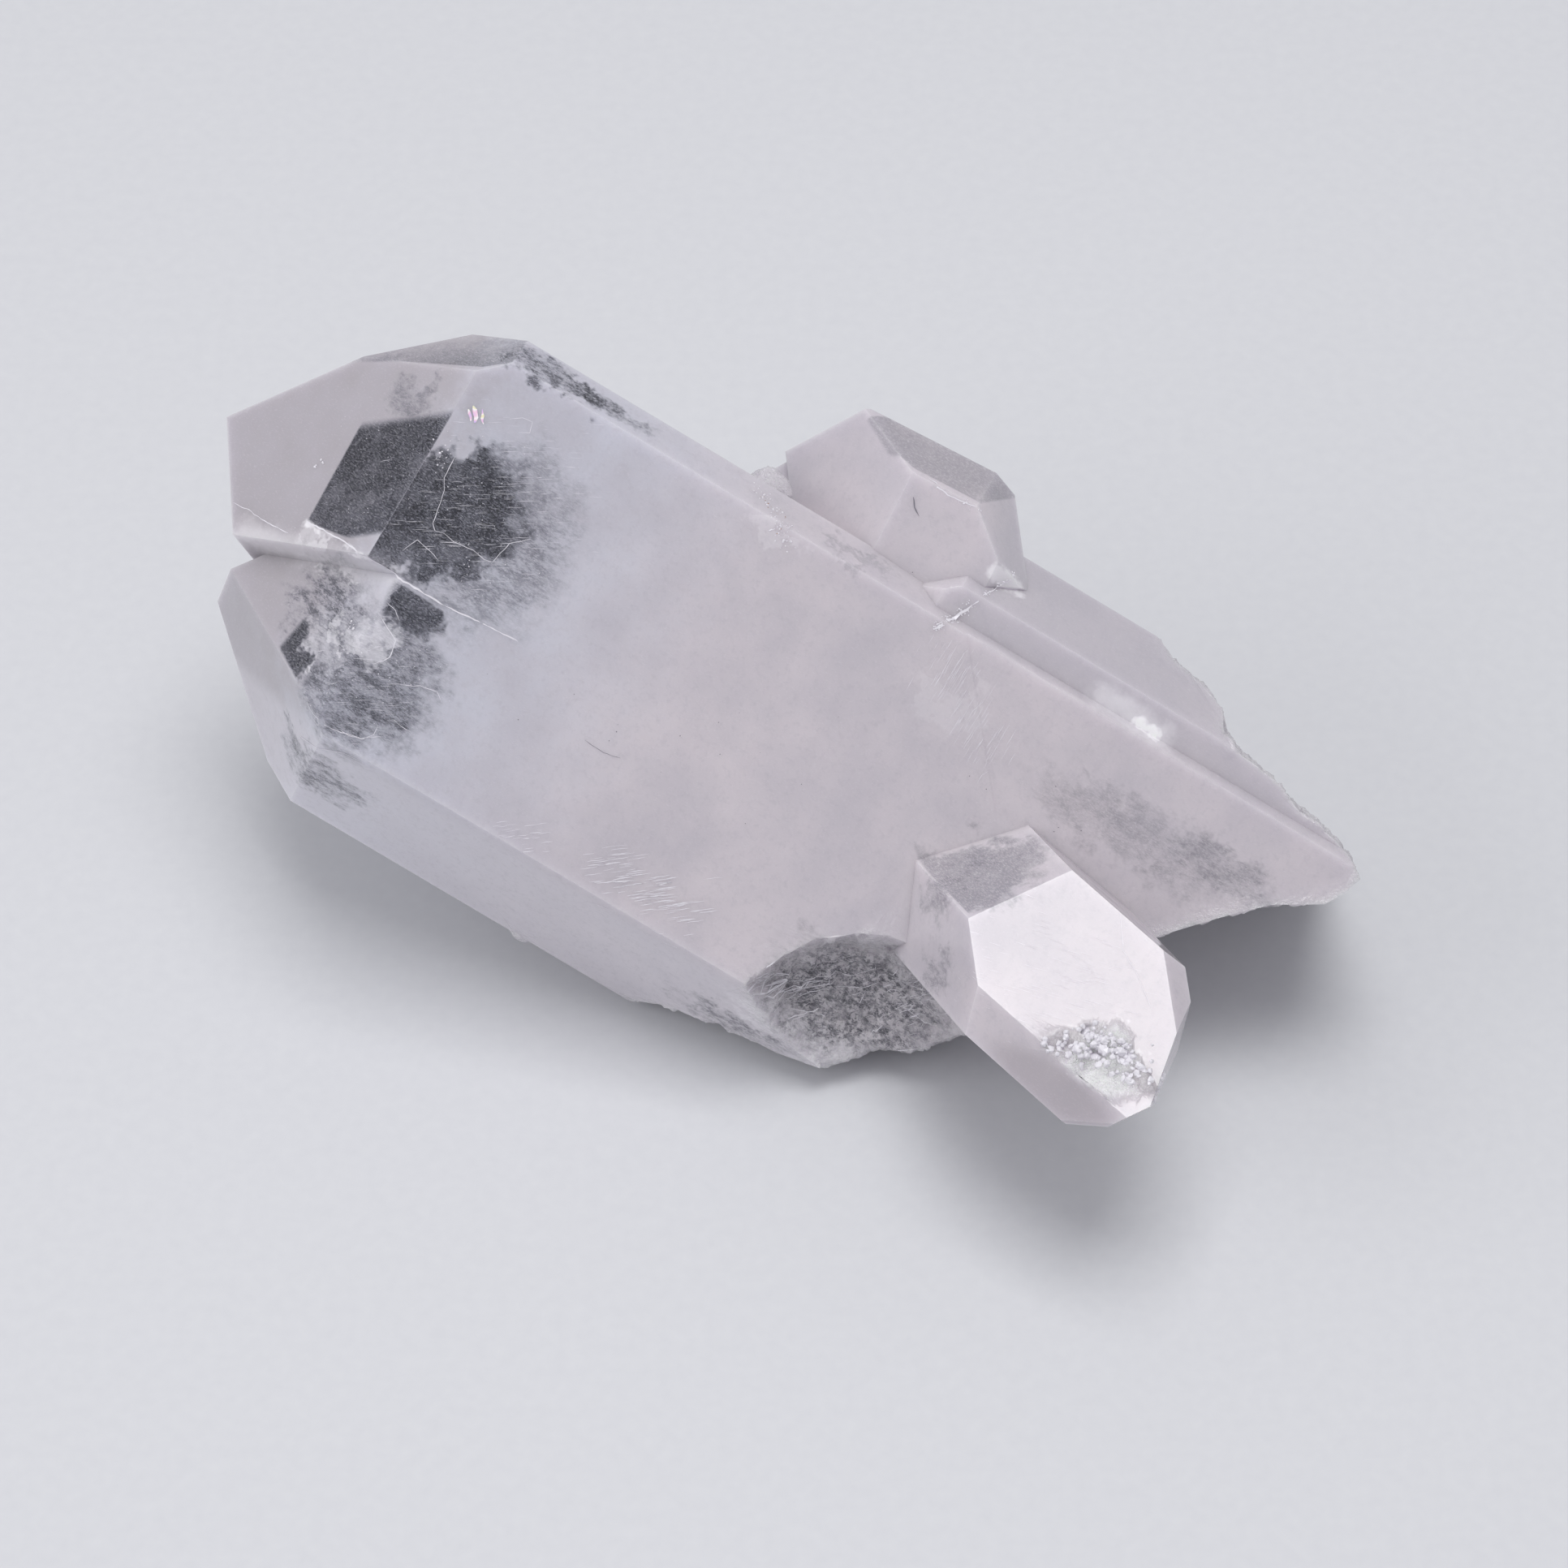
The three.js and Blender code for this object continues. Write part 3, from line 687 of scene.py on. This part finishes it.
def crumbs_mesh(name, skin, crumbs):
    """Small lumps of quartz, scattered on the surface along some courses."""
    bm = bmesh.new()
    rng = random.Random(CRUMBS_SEED)
    for places, stray, size, count in crumbs:
        course = follow(places, SCATTER_STEP)
        for _ in range(count):
            place = course[rng.randrange(len(course))] + Vector([rng.gauss(0, stray) for _ in range(3)])
            surface, normal, _, _ = skin.find_nearest(from_blade(place))
            radius = size * rng.uniform(0.5, 1.4) * MM
            turned = Matrix.Rotation(rng.uniform(0, 6), 4, Vector([rng.uniform(-1, 1) for _ in range(3)]))
            shape = Matrix.Diagonal([rng.uniform(0.7, 1.2) for _ in range(3)] + [1])
            at = Matrix.Translation(surface - normal * radius * CRUMB_SUNK) @ turned @ shape
            bmesh.ops.create_icosphere(bm, subdivisions=1, radius=radius, matrix=at)
    mesh = bpy.data.meshes.new(name)
    bm.to_mesh(mesh)
    bm.free()
    return mesh


# ---- Materials ----

QUARTZ_IOR = 1.544
SMOOTH = {"interpolation_type": "SMOOTHSTEP"}
MULTIPLY = {"operation": "MULTIPLY"}
MAXIMUM = {"operation": "MAXIMUM"}
COLOURS = {"data_type": "RGBA"}

# The patterns' sizes in millimetres, in the blade's directions where there are three. Real fibres are a few
# thousandths of a millimetre thick, and real grit and speckle a few hundredths across, so these three are
# drawn as coarse as they need to be to show.
BORDER_WAVE = 2.222
BORDER_STRAY = 7.0
FIBRE = (0.3333, 0.07692, 0.2222)
SMOKE_PATCH = (1.25, 0.6667, 1.667)
HAZE = 2.857
CRUMPLE = 2.632
SPLINTER = 2.0
GRIT = 0.5263
GREY_DRIFT = 9.091
SPECKLE = 0.625
GROWTH_LINE = (4.0, 4.0, 0.4167)
LOW_HILL = 2.5
CRUSHED_GRAIN = 0.4
RAINBOW_BAND = 0.7692
LAMINATE_SPECKLE = 1.111

# A clear zone fades out at this share of its radii.
ZONE_REACH = 1.25

# Everything that hangs in the quartz is combed nearly along the blade.
COMBED = (math.radians(-12), 0, 0)


def add(tree, kind, settings=None, inputs=None, output=0):
    """Adds a shader node with its settings, and gives back one of its outputs.

    Each input is a value, or the output that feeds it.
    """
    node = tree.nodes.new("ShaderNode" + kind)
    for name, value in (settings or {}).items():
        setattr(node, name, value)
    for name, value in (inputs or {}).items():
        if isinstance(value, bpy.types.NodeSocket):
            tree.links.new(value, node.inputs[name])
        else:
            node.inputs[name].default_value = value
    return node.outputs[output] if node.outputs else None


def new_material(name):
    """A material with an empty tree."""
    material = bpy.data.materials.new(name)
    material.use_nodes = True
    material.node_tree.nodes.clear()
    return material, material.node_tree


def in_blade_mm(tree):
    """Each point of the surface as a place in the blade's own directions, in millimetres."""
    place = add(tree, "TexCoord", output="Object")
    to_blade = crystal_axes(**BLADE).transposed()
    lie = {
        "Vector": place,
        "Location": -(to_blade @ Vector(BLADE["at"])),
        "Rotation": to_blade.to_euler(),
        "Scale": (1 / MM,) * 3,
    }
    return add(tree, "Mapping", {}, lie)


def straight_sided(tree, here, adrift, corners, soft, amount):
    """An amount that fills a flat shape with straight sides. Its soft sides wander."""
    corners = [Vector(corner) for corner in corners]
    middle = sum(corners, Vector()) / len(corners)
    facing = (corners[1] - corners[0]).cross(corners[2] - corners[1]).normalized()
    sides = []
    for start, end, softness in zip(corners, corners[1:] + corners[:1], soft):
        inward = (end - start).cross(facing).normalized()
        if inward.dot(middle - start) < 0:
            inward = -inward
        sides.append((adrift if softness > 0.5 else here, inward, inward.dot(start), softness))
    for inward in (facing, -facing):
        sides.append((here, inward, inward.dot(middle) - WINDOW_DEPTH, 0.2))
    total = amount
    for place, inward, edge, softness in sides:
        depth = add(tree, "VectorMath", {"operation": "DOT_PRODUCT"}, {0: place, 1: inward}, "Value")
        side = add(
            tree, "MapRange", SMOOTH,
            {"Value": depth, "From Min": edge - softness, "From Max": edge + softness},
        )
        total = add(tree, "Math", MULTIPLY, {0: side, 1: total})
    return total


def fading_ball(tree, place, middle, radii, inner, outer, amount):
    """An amount that fades out around a middle."""
    away = add(tree, "VectorMath", {"operation": "SUBTRACT"}, {0: place, 1: middle})
    scaled = add(tree, "VectorMath", {"operation": "DIVIDE"}, {0: away, 1: radii})
    distance = add(tree, "VectorMath", {"operation": "LENGTH"}, {0: scaled}, "Value")
    return add(
        tree, "MapRange", SMOOTH,
        {"Value": distance, "From Min": outer, "From Max": inner, "To Min": 0.0, "To Max": amount},
    )


def fading_line(tree, place, start, end, half_width, soft, amount):
    """An amount that fades out to both sides of a line."""
    along = Vector(end) - Vector(start)
    from_start = add(tree, "VectorMath", {"operation": "SUBTRACT"}, {0: place, 1: start})
    share = add(
        tree, "VectorMath", {"operation": "DOT_PRODUCT"},
        {0: from_start, 1: along / along.length_squared}, "Value",
    )
    share = add(tree, "Clamp", {}, {"Value": share})
    nearest = add(tree, "VectorMath", {"operation": "SCALE"}, {0: along, "Scale": share})
    distance = add(tree, "VectorMath", {"operation": "DISTANCE"}, {0: from_start, 1: nearest}, "Value")
    return add(
        tree, "MapRange", SMOOTH,
        {"Value": distance, "From Min": half_width + soft, "From Max": half_width, "To Max": amount},
    )


def smoke_and_windows(tree, here, adrift, zones, windows):
    """How clear the milk gets: in smoky patches with brushed borders, and under straight-sided windows."""
    brushed = add(
        tree, "Mapping", {},
        {"Vector": here, "Rotation": COMBED, "Scale": [1 / size for size in SMOKE_PATCH]},
    )
    patches = add(
        tree, "TexNoise", {}, {"Vector": brushed, "Scale": 1.0, "Detail": 6.0, "Roughness": 0.82},
    )
    patchy = add(
        tree, "MapRange", SMOOTH,
        {"Value": patches, "From Min": 0.40, "From Max": 0.60, "To Min": 1.0, "To Max": 0.0},
    )
    places = []
    for middle, radii, amount, mottle in zones:
        zone = fading_ball(tree, adrift, middle, radii, 0.5, ZONE_REACH, amount)
        kept = add(tree, "Math", {"operation": "MULTIPLY_ADD"}, {0: patchy, 1: mottle, 2: 1 - mottle})
        places.append(add(tree, "Math", MULTIPLY, {0: zone, 1: kept}))
    places += [straight_sided(tree, here, adrift, **pane) for pane in windows]
    clear = 0.0
    for place in places:
        clear = add(tree, "Math", MAXIMUM, {0: clear, 1: place})
    return clear


def veils_and_streaks(tree, adrift, bent, folds, veils, streaks):
    """How white the veils and streaks are. A veil is crumpled foil, so it breaks into bright splinters."""
    veils_and_painted_light = 0.0
    for middle, radii, amount in veils:
        veil = fading_ball(tree, adrift, middle, radii, 0.7, 1.1, amount)
        veils_and_painted_light = add(tree, "Math", MAXIMUM, {0: veils_and_painted_light, 1: veil})
    cells = add(tree, "TexVoronoi", {}, {"Vector": bent, "Scale": 1 / SPLINTER}, "Color")
    cells = add(tree, "SeparateXYZ", {}, {0: cells}, "X")
    splinters = add(
        tree, "MapRange", {},
        {"Value": cells, "From Min": 0.36, "From Max": 0.46, "To Min": 0.05, "To Max": 1.0},
    )
    for share in (splinters, folds):
        veils_and_painted_light = add(tree, "Math", MULTIPLY, {0: veils_and_painted_light, 1: share})
    # The streaks hold painted light at the notch by the tip.
    for start, end, half_width, soft, amount in streaks:
        streak = fading_line(tree, bent, start, end, half_width, soft, amount)
        veils_and_painted_light = add(tree, "Math", MAXIMUM, {0: veils_and_painted_light, 1: streak})
    return veils_and_painted_light


def clearness(tree, here, adrift, bent, hair, bitten, zones, windows, veils, shards, streaks):
    """How clear the quartz is, and how much its veils, its streaks and the painted light at the notch whiten
    it.
    """
    crumple = add(
        tree, "TexNoise", {"noise_type": "RIDGED_MULTIFRACTAL"},
        {"Vector": here, "Scale": 1 / CRUMPLE, "Detail": 4.0, "Roughness": 0.85},
    )
    folds = add(
        tree, "MapRange", SMOOTH,
        {"Value": crumple, "From Min": 0.4, "From Max": 1.1, "To Min": 0.55, "To Max": 1.0},
    )
    veils_and_painted_light = veils_and_streaks(tree, adrift, bent, folds, veils, streaks)
    covers = [veils_and_painted_light, bitten]
    for shard in shards:
        cloudy = straight_sided(tree, bent, bent, **shard)
        cloudy = add(tree, "Math", MULTIPLY, {0: cloudy, 1: folds})
        faint = add(tree, "Math", MULTIPLY, {0: cloudy, 1: 0.3})
        veils_and_painted_light = add(tree, "Math", MAXIMUM, {0: veils_and_painted_light, 1: faint})
        covers.append(cloudy)

    # Fibres and haze dim the clear quartz, and close to the table the breaks are always milky.
    haze = add(tree, "TexNoise", {}, {"Vector": here, "Scale": 1 / HAZE, "Detail": 3.0, "Roughness": 0.7})
    height = add(tree, "SeparateXYZ", {}, {0: add(tree, "TexCoord", output="Object")}, "Z")
    clear = smoke_and_windows(tree, here, adrift, zones, windows)
    for follows, settings, start, end, least, most in (
        (hair, SMOOTH, 0.40, 0.76, 1.0, 0.35),
        (haze, {}, 0.45, 0.68, 1.0, 0.75),
        (height, SMOOTH, 1.2 * MM, 4.5 * MM, 0.0, 1.0),
    ):
        share = add(
            tree, "MapRange", settings,
            {"Value": follows, "From Min": start, "From Max": end, "To Min": least, "To Max": most},
        )
        clear = add(tree, "Math", MULTIPLY, {0: clear, 1: share})
    for cover in covers:
        bare = add(tree, "Math", {"operation": "SUBTRACT"}, {0: 1.0, 1: cover})
        clear = add(tree, "Math", MULTIPLY, {0: clear, 1: bare})
    return clear, veils_and_painted_light


def milk_colour(tree, here, adrift, hair, whitened):
    """The milk: faintly pink along the body and at the tip, bluish in between, with greyer drifts in it, and
    painted light and shade on some faces.
    """
    drifts = add(
        tree, "TexNoise", {}, {"Vector": here, "Scale": 1 / GREY_DRIFT, "Detail": 3.0, "Roughness": 0.65},
    )
    speckle = add(
        tree, "TexNoise", {}, {"Vector": here, "Scale": 1 / SPECKLE, "Detail": 2.0, "Roughness": 0.85},
    )
    place = add(tree, "SeparateXYZ", {}, {0: here}).node.outputs
    wandering = add(tree, "SeparateXYZ", {}, {0: adrift}, "Z")
    share = {}
    for name, follows, settings, start, end, most in (
        ("pink body", wandering, SMOOTH, -22.0, -44.0, 1.0),
        ("dim tip", wandering, SMOOTH, -19.0, -12.0, 0.9),
        ("grey drifts", drifts, {}, 0.35, 0.65, 0.55),
        # Painted shade: the strip along the blade's upper edge, past the stub, is painted greyer.
        ("strip", place["Y"], SMOOTH, 14.8, 16.2, 0.45),
        ("past the stub", place["Z"], SMOOTH, -53.0, -56.0, 1.0),
        # Painted light: the blade's lower flank is painted lighter, as if lit.
        ("lit flank", place["Y"], SMOOTH, -15.2, -17.0, 0.5),
        ("speckle", speckle, {}, 0.5, 0.75, 0.3),
        ("fibres", hair, {}, 0.55, 0.8, 0.35),
    ):
        share[name] = add(
            tree, "MapRange", settings,
            {"Value": follows, "From Min": start, "From Max": end, "To Max": most},
        )
    share["strip"] = add(tree, "Math", MULTIPLY, {0: share["strip"], 1: share["past the stub"]})
    # Painted shade: the front crystal's lower left flank is painted darker.
    share["painted shade on the front flank"] = fading_ball(tree, here, **PAINTED_SHADE_FLANK, inner=0.6, outer=1.1, amount=0.55)
    share["white veils, breaks and painted light"] = whitened
    milk = linear("#cbccd6")
    for name, tone in (
        ("pink body", "#d2cbd0"),
        ("dim tip", "#aca6aa"),
        ("grey drifts", "#bcb8c0"),
        ("strip", "#b9b6be"),
        ("lit flank", "#e0dde4"),
        ("painted shade on the front flank", "#aaa3a8"),
        ("speckle", "#b4b0b8"),
        ("fibres", "#e6e2e8"),
        ("white veils, breaks and painted light", "#f9f7fa"),
    ):
        milk = add(tree, "Mix", COLOURS, {"Factor": share[name], "A": milk, "B": linear(tone)}, "Result")
    return milk


def skin_relief(tree, here, grain):
    """Fine growth lines across the faces, low hills on them, and grain on the breaks."""
    striped = add(tree, "Mapping", {}, {"Vector": here, "Scale": [1 / size for size in GROWTH_LINE]})
    lines = add(tree, "TexNoise", {}, {"Vector": striped, "Scale": 1.0, "Detail": 1.0})
    hills = add(tree, "TexNoise", {}, {"Vector": here, "Scale": 1 / LOW_HILL, "Detail": 0.0})
    below = {}
    for height, strength, reach in ((lines, 0.10, 0.2), (hills, 0.12, 0.3), (grain, 0.9, 0.7)):
        bump = add(
            tree, "Bump", {}, {"Strength": strength, "Distance": reach * MM, "Height": height, **below},
        )
        below = {"Normal": bump}
    return bump


def quartz_material(name, zones=(), windows=(), veils=(), shards=(), streaks=()):
    """Rock crystal as it grew: a glossy skin over softly glowing milk, clear and dark in places."""
    material, tree = new_material(name)
    here = in_blade_mm(tree)

    # Borders between clear and milky wander by a millimetre or two, and those of shards and streaks by less.
    waves = add(
        tree, "TexNoise", {},
        {"Vector": here, "Scale": 1 / BORDER_WAVE, "Detail": 3.0, "Roughness": 0.75}, "Color",
    )
    stray = add(
        tree, "VectorMath", {"operation": "MULTIPLY_ADD"},
        {0: waves, 1: (BORDER_STRAY,) * 3, 2: (-BORDER_STRAY / 2,) * 3},
    )
    adrift = add(tree, "VectorMath", {"operation": "ADD"}, {0: here, 1: stray})
    bent = add(tree, "VectorMath", {"operation": "MULTIPLY_ADD"}, {0: stray, 1: (0.3,) * 3, 2: here})
    combed = add(
        tree, "Mapping", {}, {"Vector": here, "Rotation": COMBED, "Scale": [1 / size for size in FIBRE]},
    )
    hair = add(tree, "TexNoise", {}, {"Vector": combed, "Scale": 1.0, "Detail": 3.0, "Roughness": 0.7})

    # Broken faces are gritty: fine milky grains bite into the clear quartz, and whiten it a little.
    broken = add(tree, "Attribute", {"attribute_name": "broken"}, output="Fac")
    grit = add(tree, "TexNoise", {}, {"Vector": here, "Scale": 1 / GRIT, "Detail": 3.0, "Roughness": 0.8})
    grain = add(tree, "Math", MULTIPLY, {0: grit, 1: broken})
    clear, veils_and_painted_light = 0.0, 0.0
    if zones or windows:
        bitten = add(
            tree, "MapRange", SMOOTH, {"Value": grit, "From Min": 0.44, "From Max": 0.60, "To Max": 0.8},
        )
        bitten = add(tree, "Math", MULTIPLY, {0: bitten, 1: broken})
        features = zones, windows, veils, shards, streaks
        clear, veils_and_painted_light = clearness(tree, here, adrift, bent, hair, bitten, *features)
    whitened = add(tree, "Math", MULTIPLY, {0: broken, 1: 0.3})
    crushed = add(tree, "Attribute", {"attribute_name": "crushed"}, output="Fac")
    for share in (crushed, veils_and_painted_light):
        whitened = add(tree, "Math", MAXIMUM, {0: whitened, 1: share})
    colour = milk_colour(tree, here, adrift, hair, whitened)
    if zones or windows:
        colour = add(
            tree, "Mix", COLOURS, {"Factor": clear, "A": colour, "B": linear("#8c8e9b")}, "Result",
        )
    gloss = add(tree, "MapRange", {}, {"Value": broken, "To Min": 0.06, "To Max": 0.22})

    skin = add(
        tree, "BsdfPrincipled", {},
        {
            "Base Color": colour,
            "Roughness": gloss,
            "IOR": QUARTZ_IOR,
            "Transmission Weight": clear,
            "Subsurface Weight": 0.8,
            "Subsurface Radius": (1.0, 0.95, 1.02),
            "Subsurface Scale": 2.2 * MM,
            "Normal": skin_relief(tree, here, grain),
        },
    )
    add(tree, "OutputMaterial", {}, {"Surface": skin})
    return material


def features_of(at_tip):
    """The clear and white features at the tip, or all the others, and the boxes that hold them."""

    def kept(rows, place):
        return [row for row in rows if (place(row)[2] > TIP_ENDS) == at_tip]

    balls_and_lines = (CLEAR_ZONES, WHITE_VEILS, WHITE_STREAKS)
    zones, veils, streaks = (kept(rows, lambda row: row[0]) for rows in balls_and_lines)
    windows, shards = (kept(rows, lambda row: row["corners"][0]) for rows in (WINDOWS, CLOUDY_SHARDS))
    places = [pane["corners"] for pane in windows + shards] + [streak[:2] for streak in streaks]
    for middle, radii, *_ in zones + veils:
        reach = ZONE_REACH * np.array(radii)
        places.append((middle - reach, middle + reach))
    boxes = [(np.min(group, 0) - FEATURES_STRAY, np.max(group, 0) + FEATURES_STRAY) for group in places]
    return (zones, windows, veils, shards, streaks), boxes


def rainbow_material():
    """A painted reflection: light that a gap a few wavelengths wide has split into its colours, painted as
    bright as the lamp it mirrors.
    """
    material, tree = new_material("painted rainbow glint in a crack")
    place = add(tree, "TexCoord", output="Object")
    gap = add(tree, "TexNoise", {}, {"Vector": place, "Scale": 1 / (RAINBOW_BAND * MM), "Detail": 1.0})
    bands = add(tree, "ValToRGB", {}, {0: gap})
    ramp = bands.node.color_ramp
    ramp.elements[0].position, ramp.elements[0].color = 0.36, linear("#dcc4f4")
    ramp.elements[1].position, ramp.elements[1].color = 0.64, linear("#c6ecf4")
    # The white between the colours is a painted glint.
    for position, colour in ((0.44, "#f8cfe6"), (0.5, "#ffffff"), (0.56, "#faf0c4")):
        ramp.elements.new(position).color = linear(colour)
    skin = add(tree, "BsdfPrincipled", {}, {"Base Color": bands, "Roughness": 0.15, "IOR": QUARTZ_IOR})
    add(tree, "OutputMaterial", {}, {"Surface": skin})
    return material


def grain_material(name, colour, specks, roughness):
    """Crushed or stained quartz: dull grains, with finer specks of a second colour."""
    material, tree = new_material(name)
    place = add(tree, "TexCoord", output="Object")
    grain = add(tree, "TexNoise", {}, {"Vector": place, "Scale": 1 / (CRUSHED_GRAIN * MM), "Detail": 3.0})
    mixed = add(
        tree, "Mix", COLOURS, {"Factor": grain, "A": linear(colour), "B": linear(specks)}, "Result",
    )
    skin = add(
        tree, "BsdfPrincipled", {}, {"Base Color": mixed, "Roughness": roughness, "IOR": QUARTZ_IOR},
    )
    add(tree, "OutputMaterial", {}, {"Surface": skin})
    return material


def table_material():
    """Pale laminate with an even satin: it stays plain and takes soft shadows."""
    material, tree = new_material("pale table laminate")
    place = add(tree, "TexCoord", output="Object")
    speckle = add(
        tree, "TexNoise", {}, {"Vector": place, "Scale": 1 / (LAMINATE_SPECKLE * MM), "Detail": 2.0},
    )
    colour = add(
        tree, "Mix", COLOURS,
        {"Factor": speckle, "A": linear("#cfd0d4"), "B": linear("#d6d7da")}, "Result",
    )
    skin = add(tree, "BsdfPrincipled", {}, {"Base Color": colour, "Roughness": 0.55})
    add(tree, "OutputMaterial", {}, {"Surface": skin})
    return material


# ---- The cluster ----

cluster = bpy.data.objects.new("quartz_cluster_crystals", quartz_mesh(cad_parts["quartz_cluster"]))
bpy.context.scene.collection.objects.link(cluster)
mesh = cluster.data

# One quartz in three materials, so that each place only works out the features that are near it.
centres = in_crystal(BLADE, np.array([face.center for face in mesh.polygons]))
finish = np.zeros(len(centres), np.int32)
mesh.materials.append(quartz_material("milky quartz, cloudy all through"))
for at_tip, name in ((True, "milky quartz with a clear tip"), (False, "milky quartz with clear patches")):
    features, boxes = features_of(at_tip)
    mesh.materials.append(quartz_material(name, *features))
    for low, high in boxes:
        finish[((centres > low) & (centres < high)).all(1)] = len(mesh.materials) - 1
mesh.polygons.foreach_set("material_index", finish)
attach(cluster, "root")
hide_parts("quartz_cluster")

points = [vertex.co for vertex in mesh.vertices]
skin = BVHTree.FromPolygons(points, [face.vertices for face in mesh.polygons])
# The white crushed quartz also colours the painted glints on the stub's ridge.
crushed = grain_material("white crushed quartz along cracks, and painted glints", "#efedf2", "#dcd9e0", 0.35)
shadowed = grain_material("shadowed hairline cracks", "#6b6870", "#8a8790", 0.5)
stained = grain_material("rust-stained grains", "#b58a62", "#8f6a4c", 0.6)
rainbow = rainbow_material()
for name, marks, material in (
    ("white_cracks_and_painted_glint", lines_mesh("white cracks", skin, WHITE_LINES + growth_strokes()), crushed),
    ("dark_hairlines", lines_mesh("dark hairlines", skin, DARK_LINES), shadowed),
    ("painted_rainbow_glint", lines_mesh("painted rainbow glint", skin, PAINTED_RAINBOW_GLINT), rainbow),
    ("white_crumbs_and_painted_glint", crumbs_mesh("white crumbs", skin, WHITE_CRUMBS), crushed),
    ("stained_crumbs", crumbs_mesh("stained crumbs", skin, STAINED_CRUMBS), stained),
    ("dark_specks", crumbs_mesh("dark specks", skin, DARK_SPECKS), shadowed),
):
    piece = bpy.data.objects.new(name, marks)
    bpy.context.scene.collection.objects.link(piece)
    piece.data.materials.append(material)
    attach(piece, "root")

# ---- Table, light and camera ----

# In metres. The table lies a hair below the cluster, so that the two never share a face.
TABLE_REACH = 2
TABLE_TOP = -0.0002
ROOM_COLOUR = "#d0d0d5"
ROOM_STRENGTH = 0.74


def softbox(name, at, looks_at, size, watts):
    """A square area lamp."""
    light = bpy.data.lights.new(name, "AREA")
    light.shape = "SQUARE"
    light.size = size
    light.energy = watts
    lamp = bpy.data.objects.new(name, light)
    lamp.location = Vector(at)
    lamp.rotation_euler = (Vector(looks_at) - Vector(at)).to_track_quat("-Z", "Y").to_euler()
    bpy.context.scene.collection.objects.link(lamp)


table_mesh = bpy.data.meshes.new("table")
corners = [(TABLE_REACH * x, TABLE_REACH * y, 0) for x, y in ((-1, -1), (1, -1), (1, 1), (-1, 1))]
table_mesh.from_pydata(corners, [], [(0, 1, 2, 3)])
table = bpy.data.objects.new("table", table_mesh)
table.location.z = TABLE_TOP
table_mesh.materials.append(table_material())
bpy.context.scene.collection.objects.link(table)

softbox("overhead softbox", at=(0.03, 0.04, 0.62), looks_at=(0.01, 0, 0), size=0.34, watts=2.0)
softbox("left fill", at=(-0.55, -0.15, 0.35), looks_at=(0, 0, 0.02), size=0.4, watts=1.05)

world = bpy.data.worlds.new("studio")
world.use_nodes = True
sky = world.node_tree.nodes["Background"]
sky.inputs["Color"].default_value = linear(ROOM_COLOUR)
sky.inputs["Strength"].default_value = ROOM_STRENGTH
bpy.context.scene.world = world

camera = bpy.data.objects.new("camera", bpy.data.cameras.new("camera"))
camera.data.lens = CAMERA_LENS
camera.location = Vector(CAMERA_AT) * MM
camera.rotation_euler = (Vector(CAMERA_LOOKS_AT) - Vector(CAMERA_AT)).to_track_quat("-Z", "Y").to_euler()
bpy.context.scene.collection.objects.link(camera)
bpy.context.scene.camera = camera
bpy.context.scene.view_settings.view_transform = "Standard"
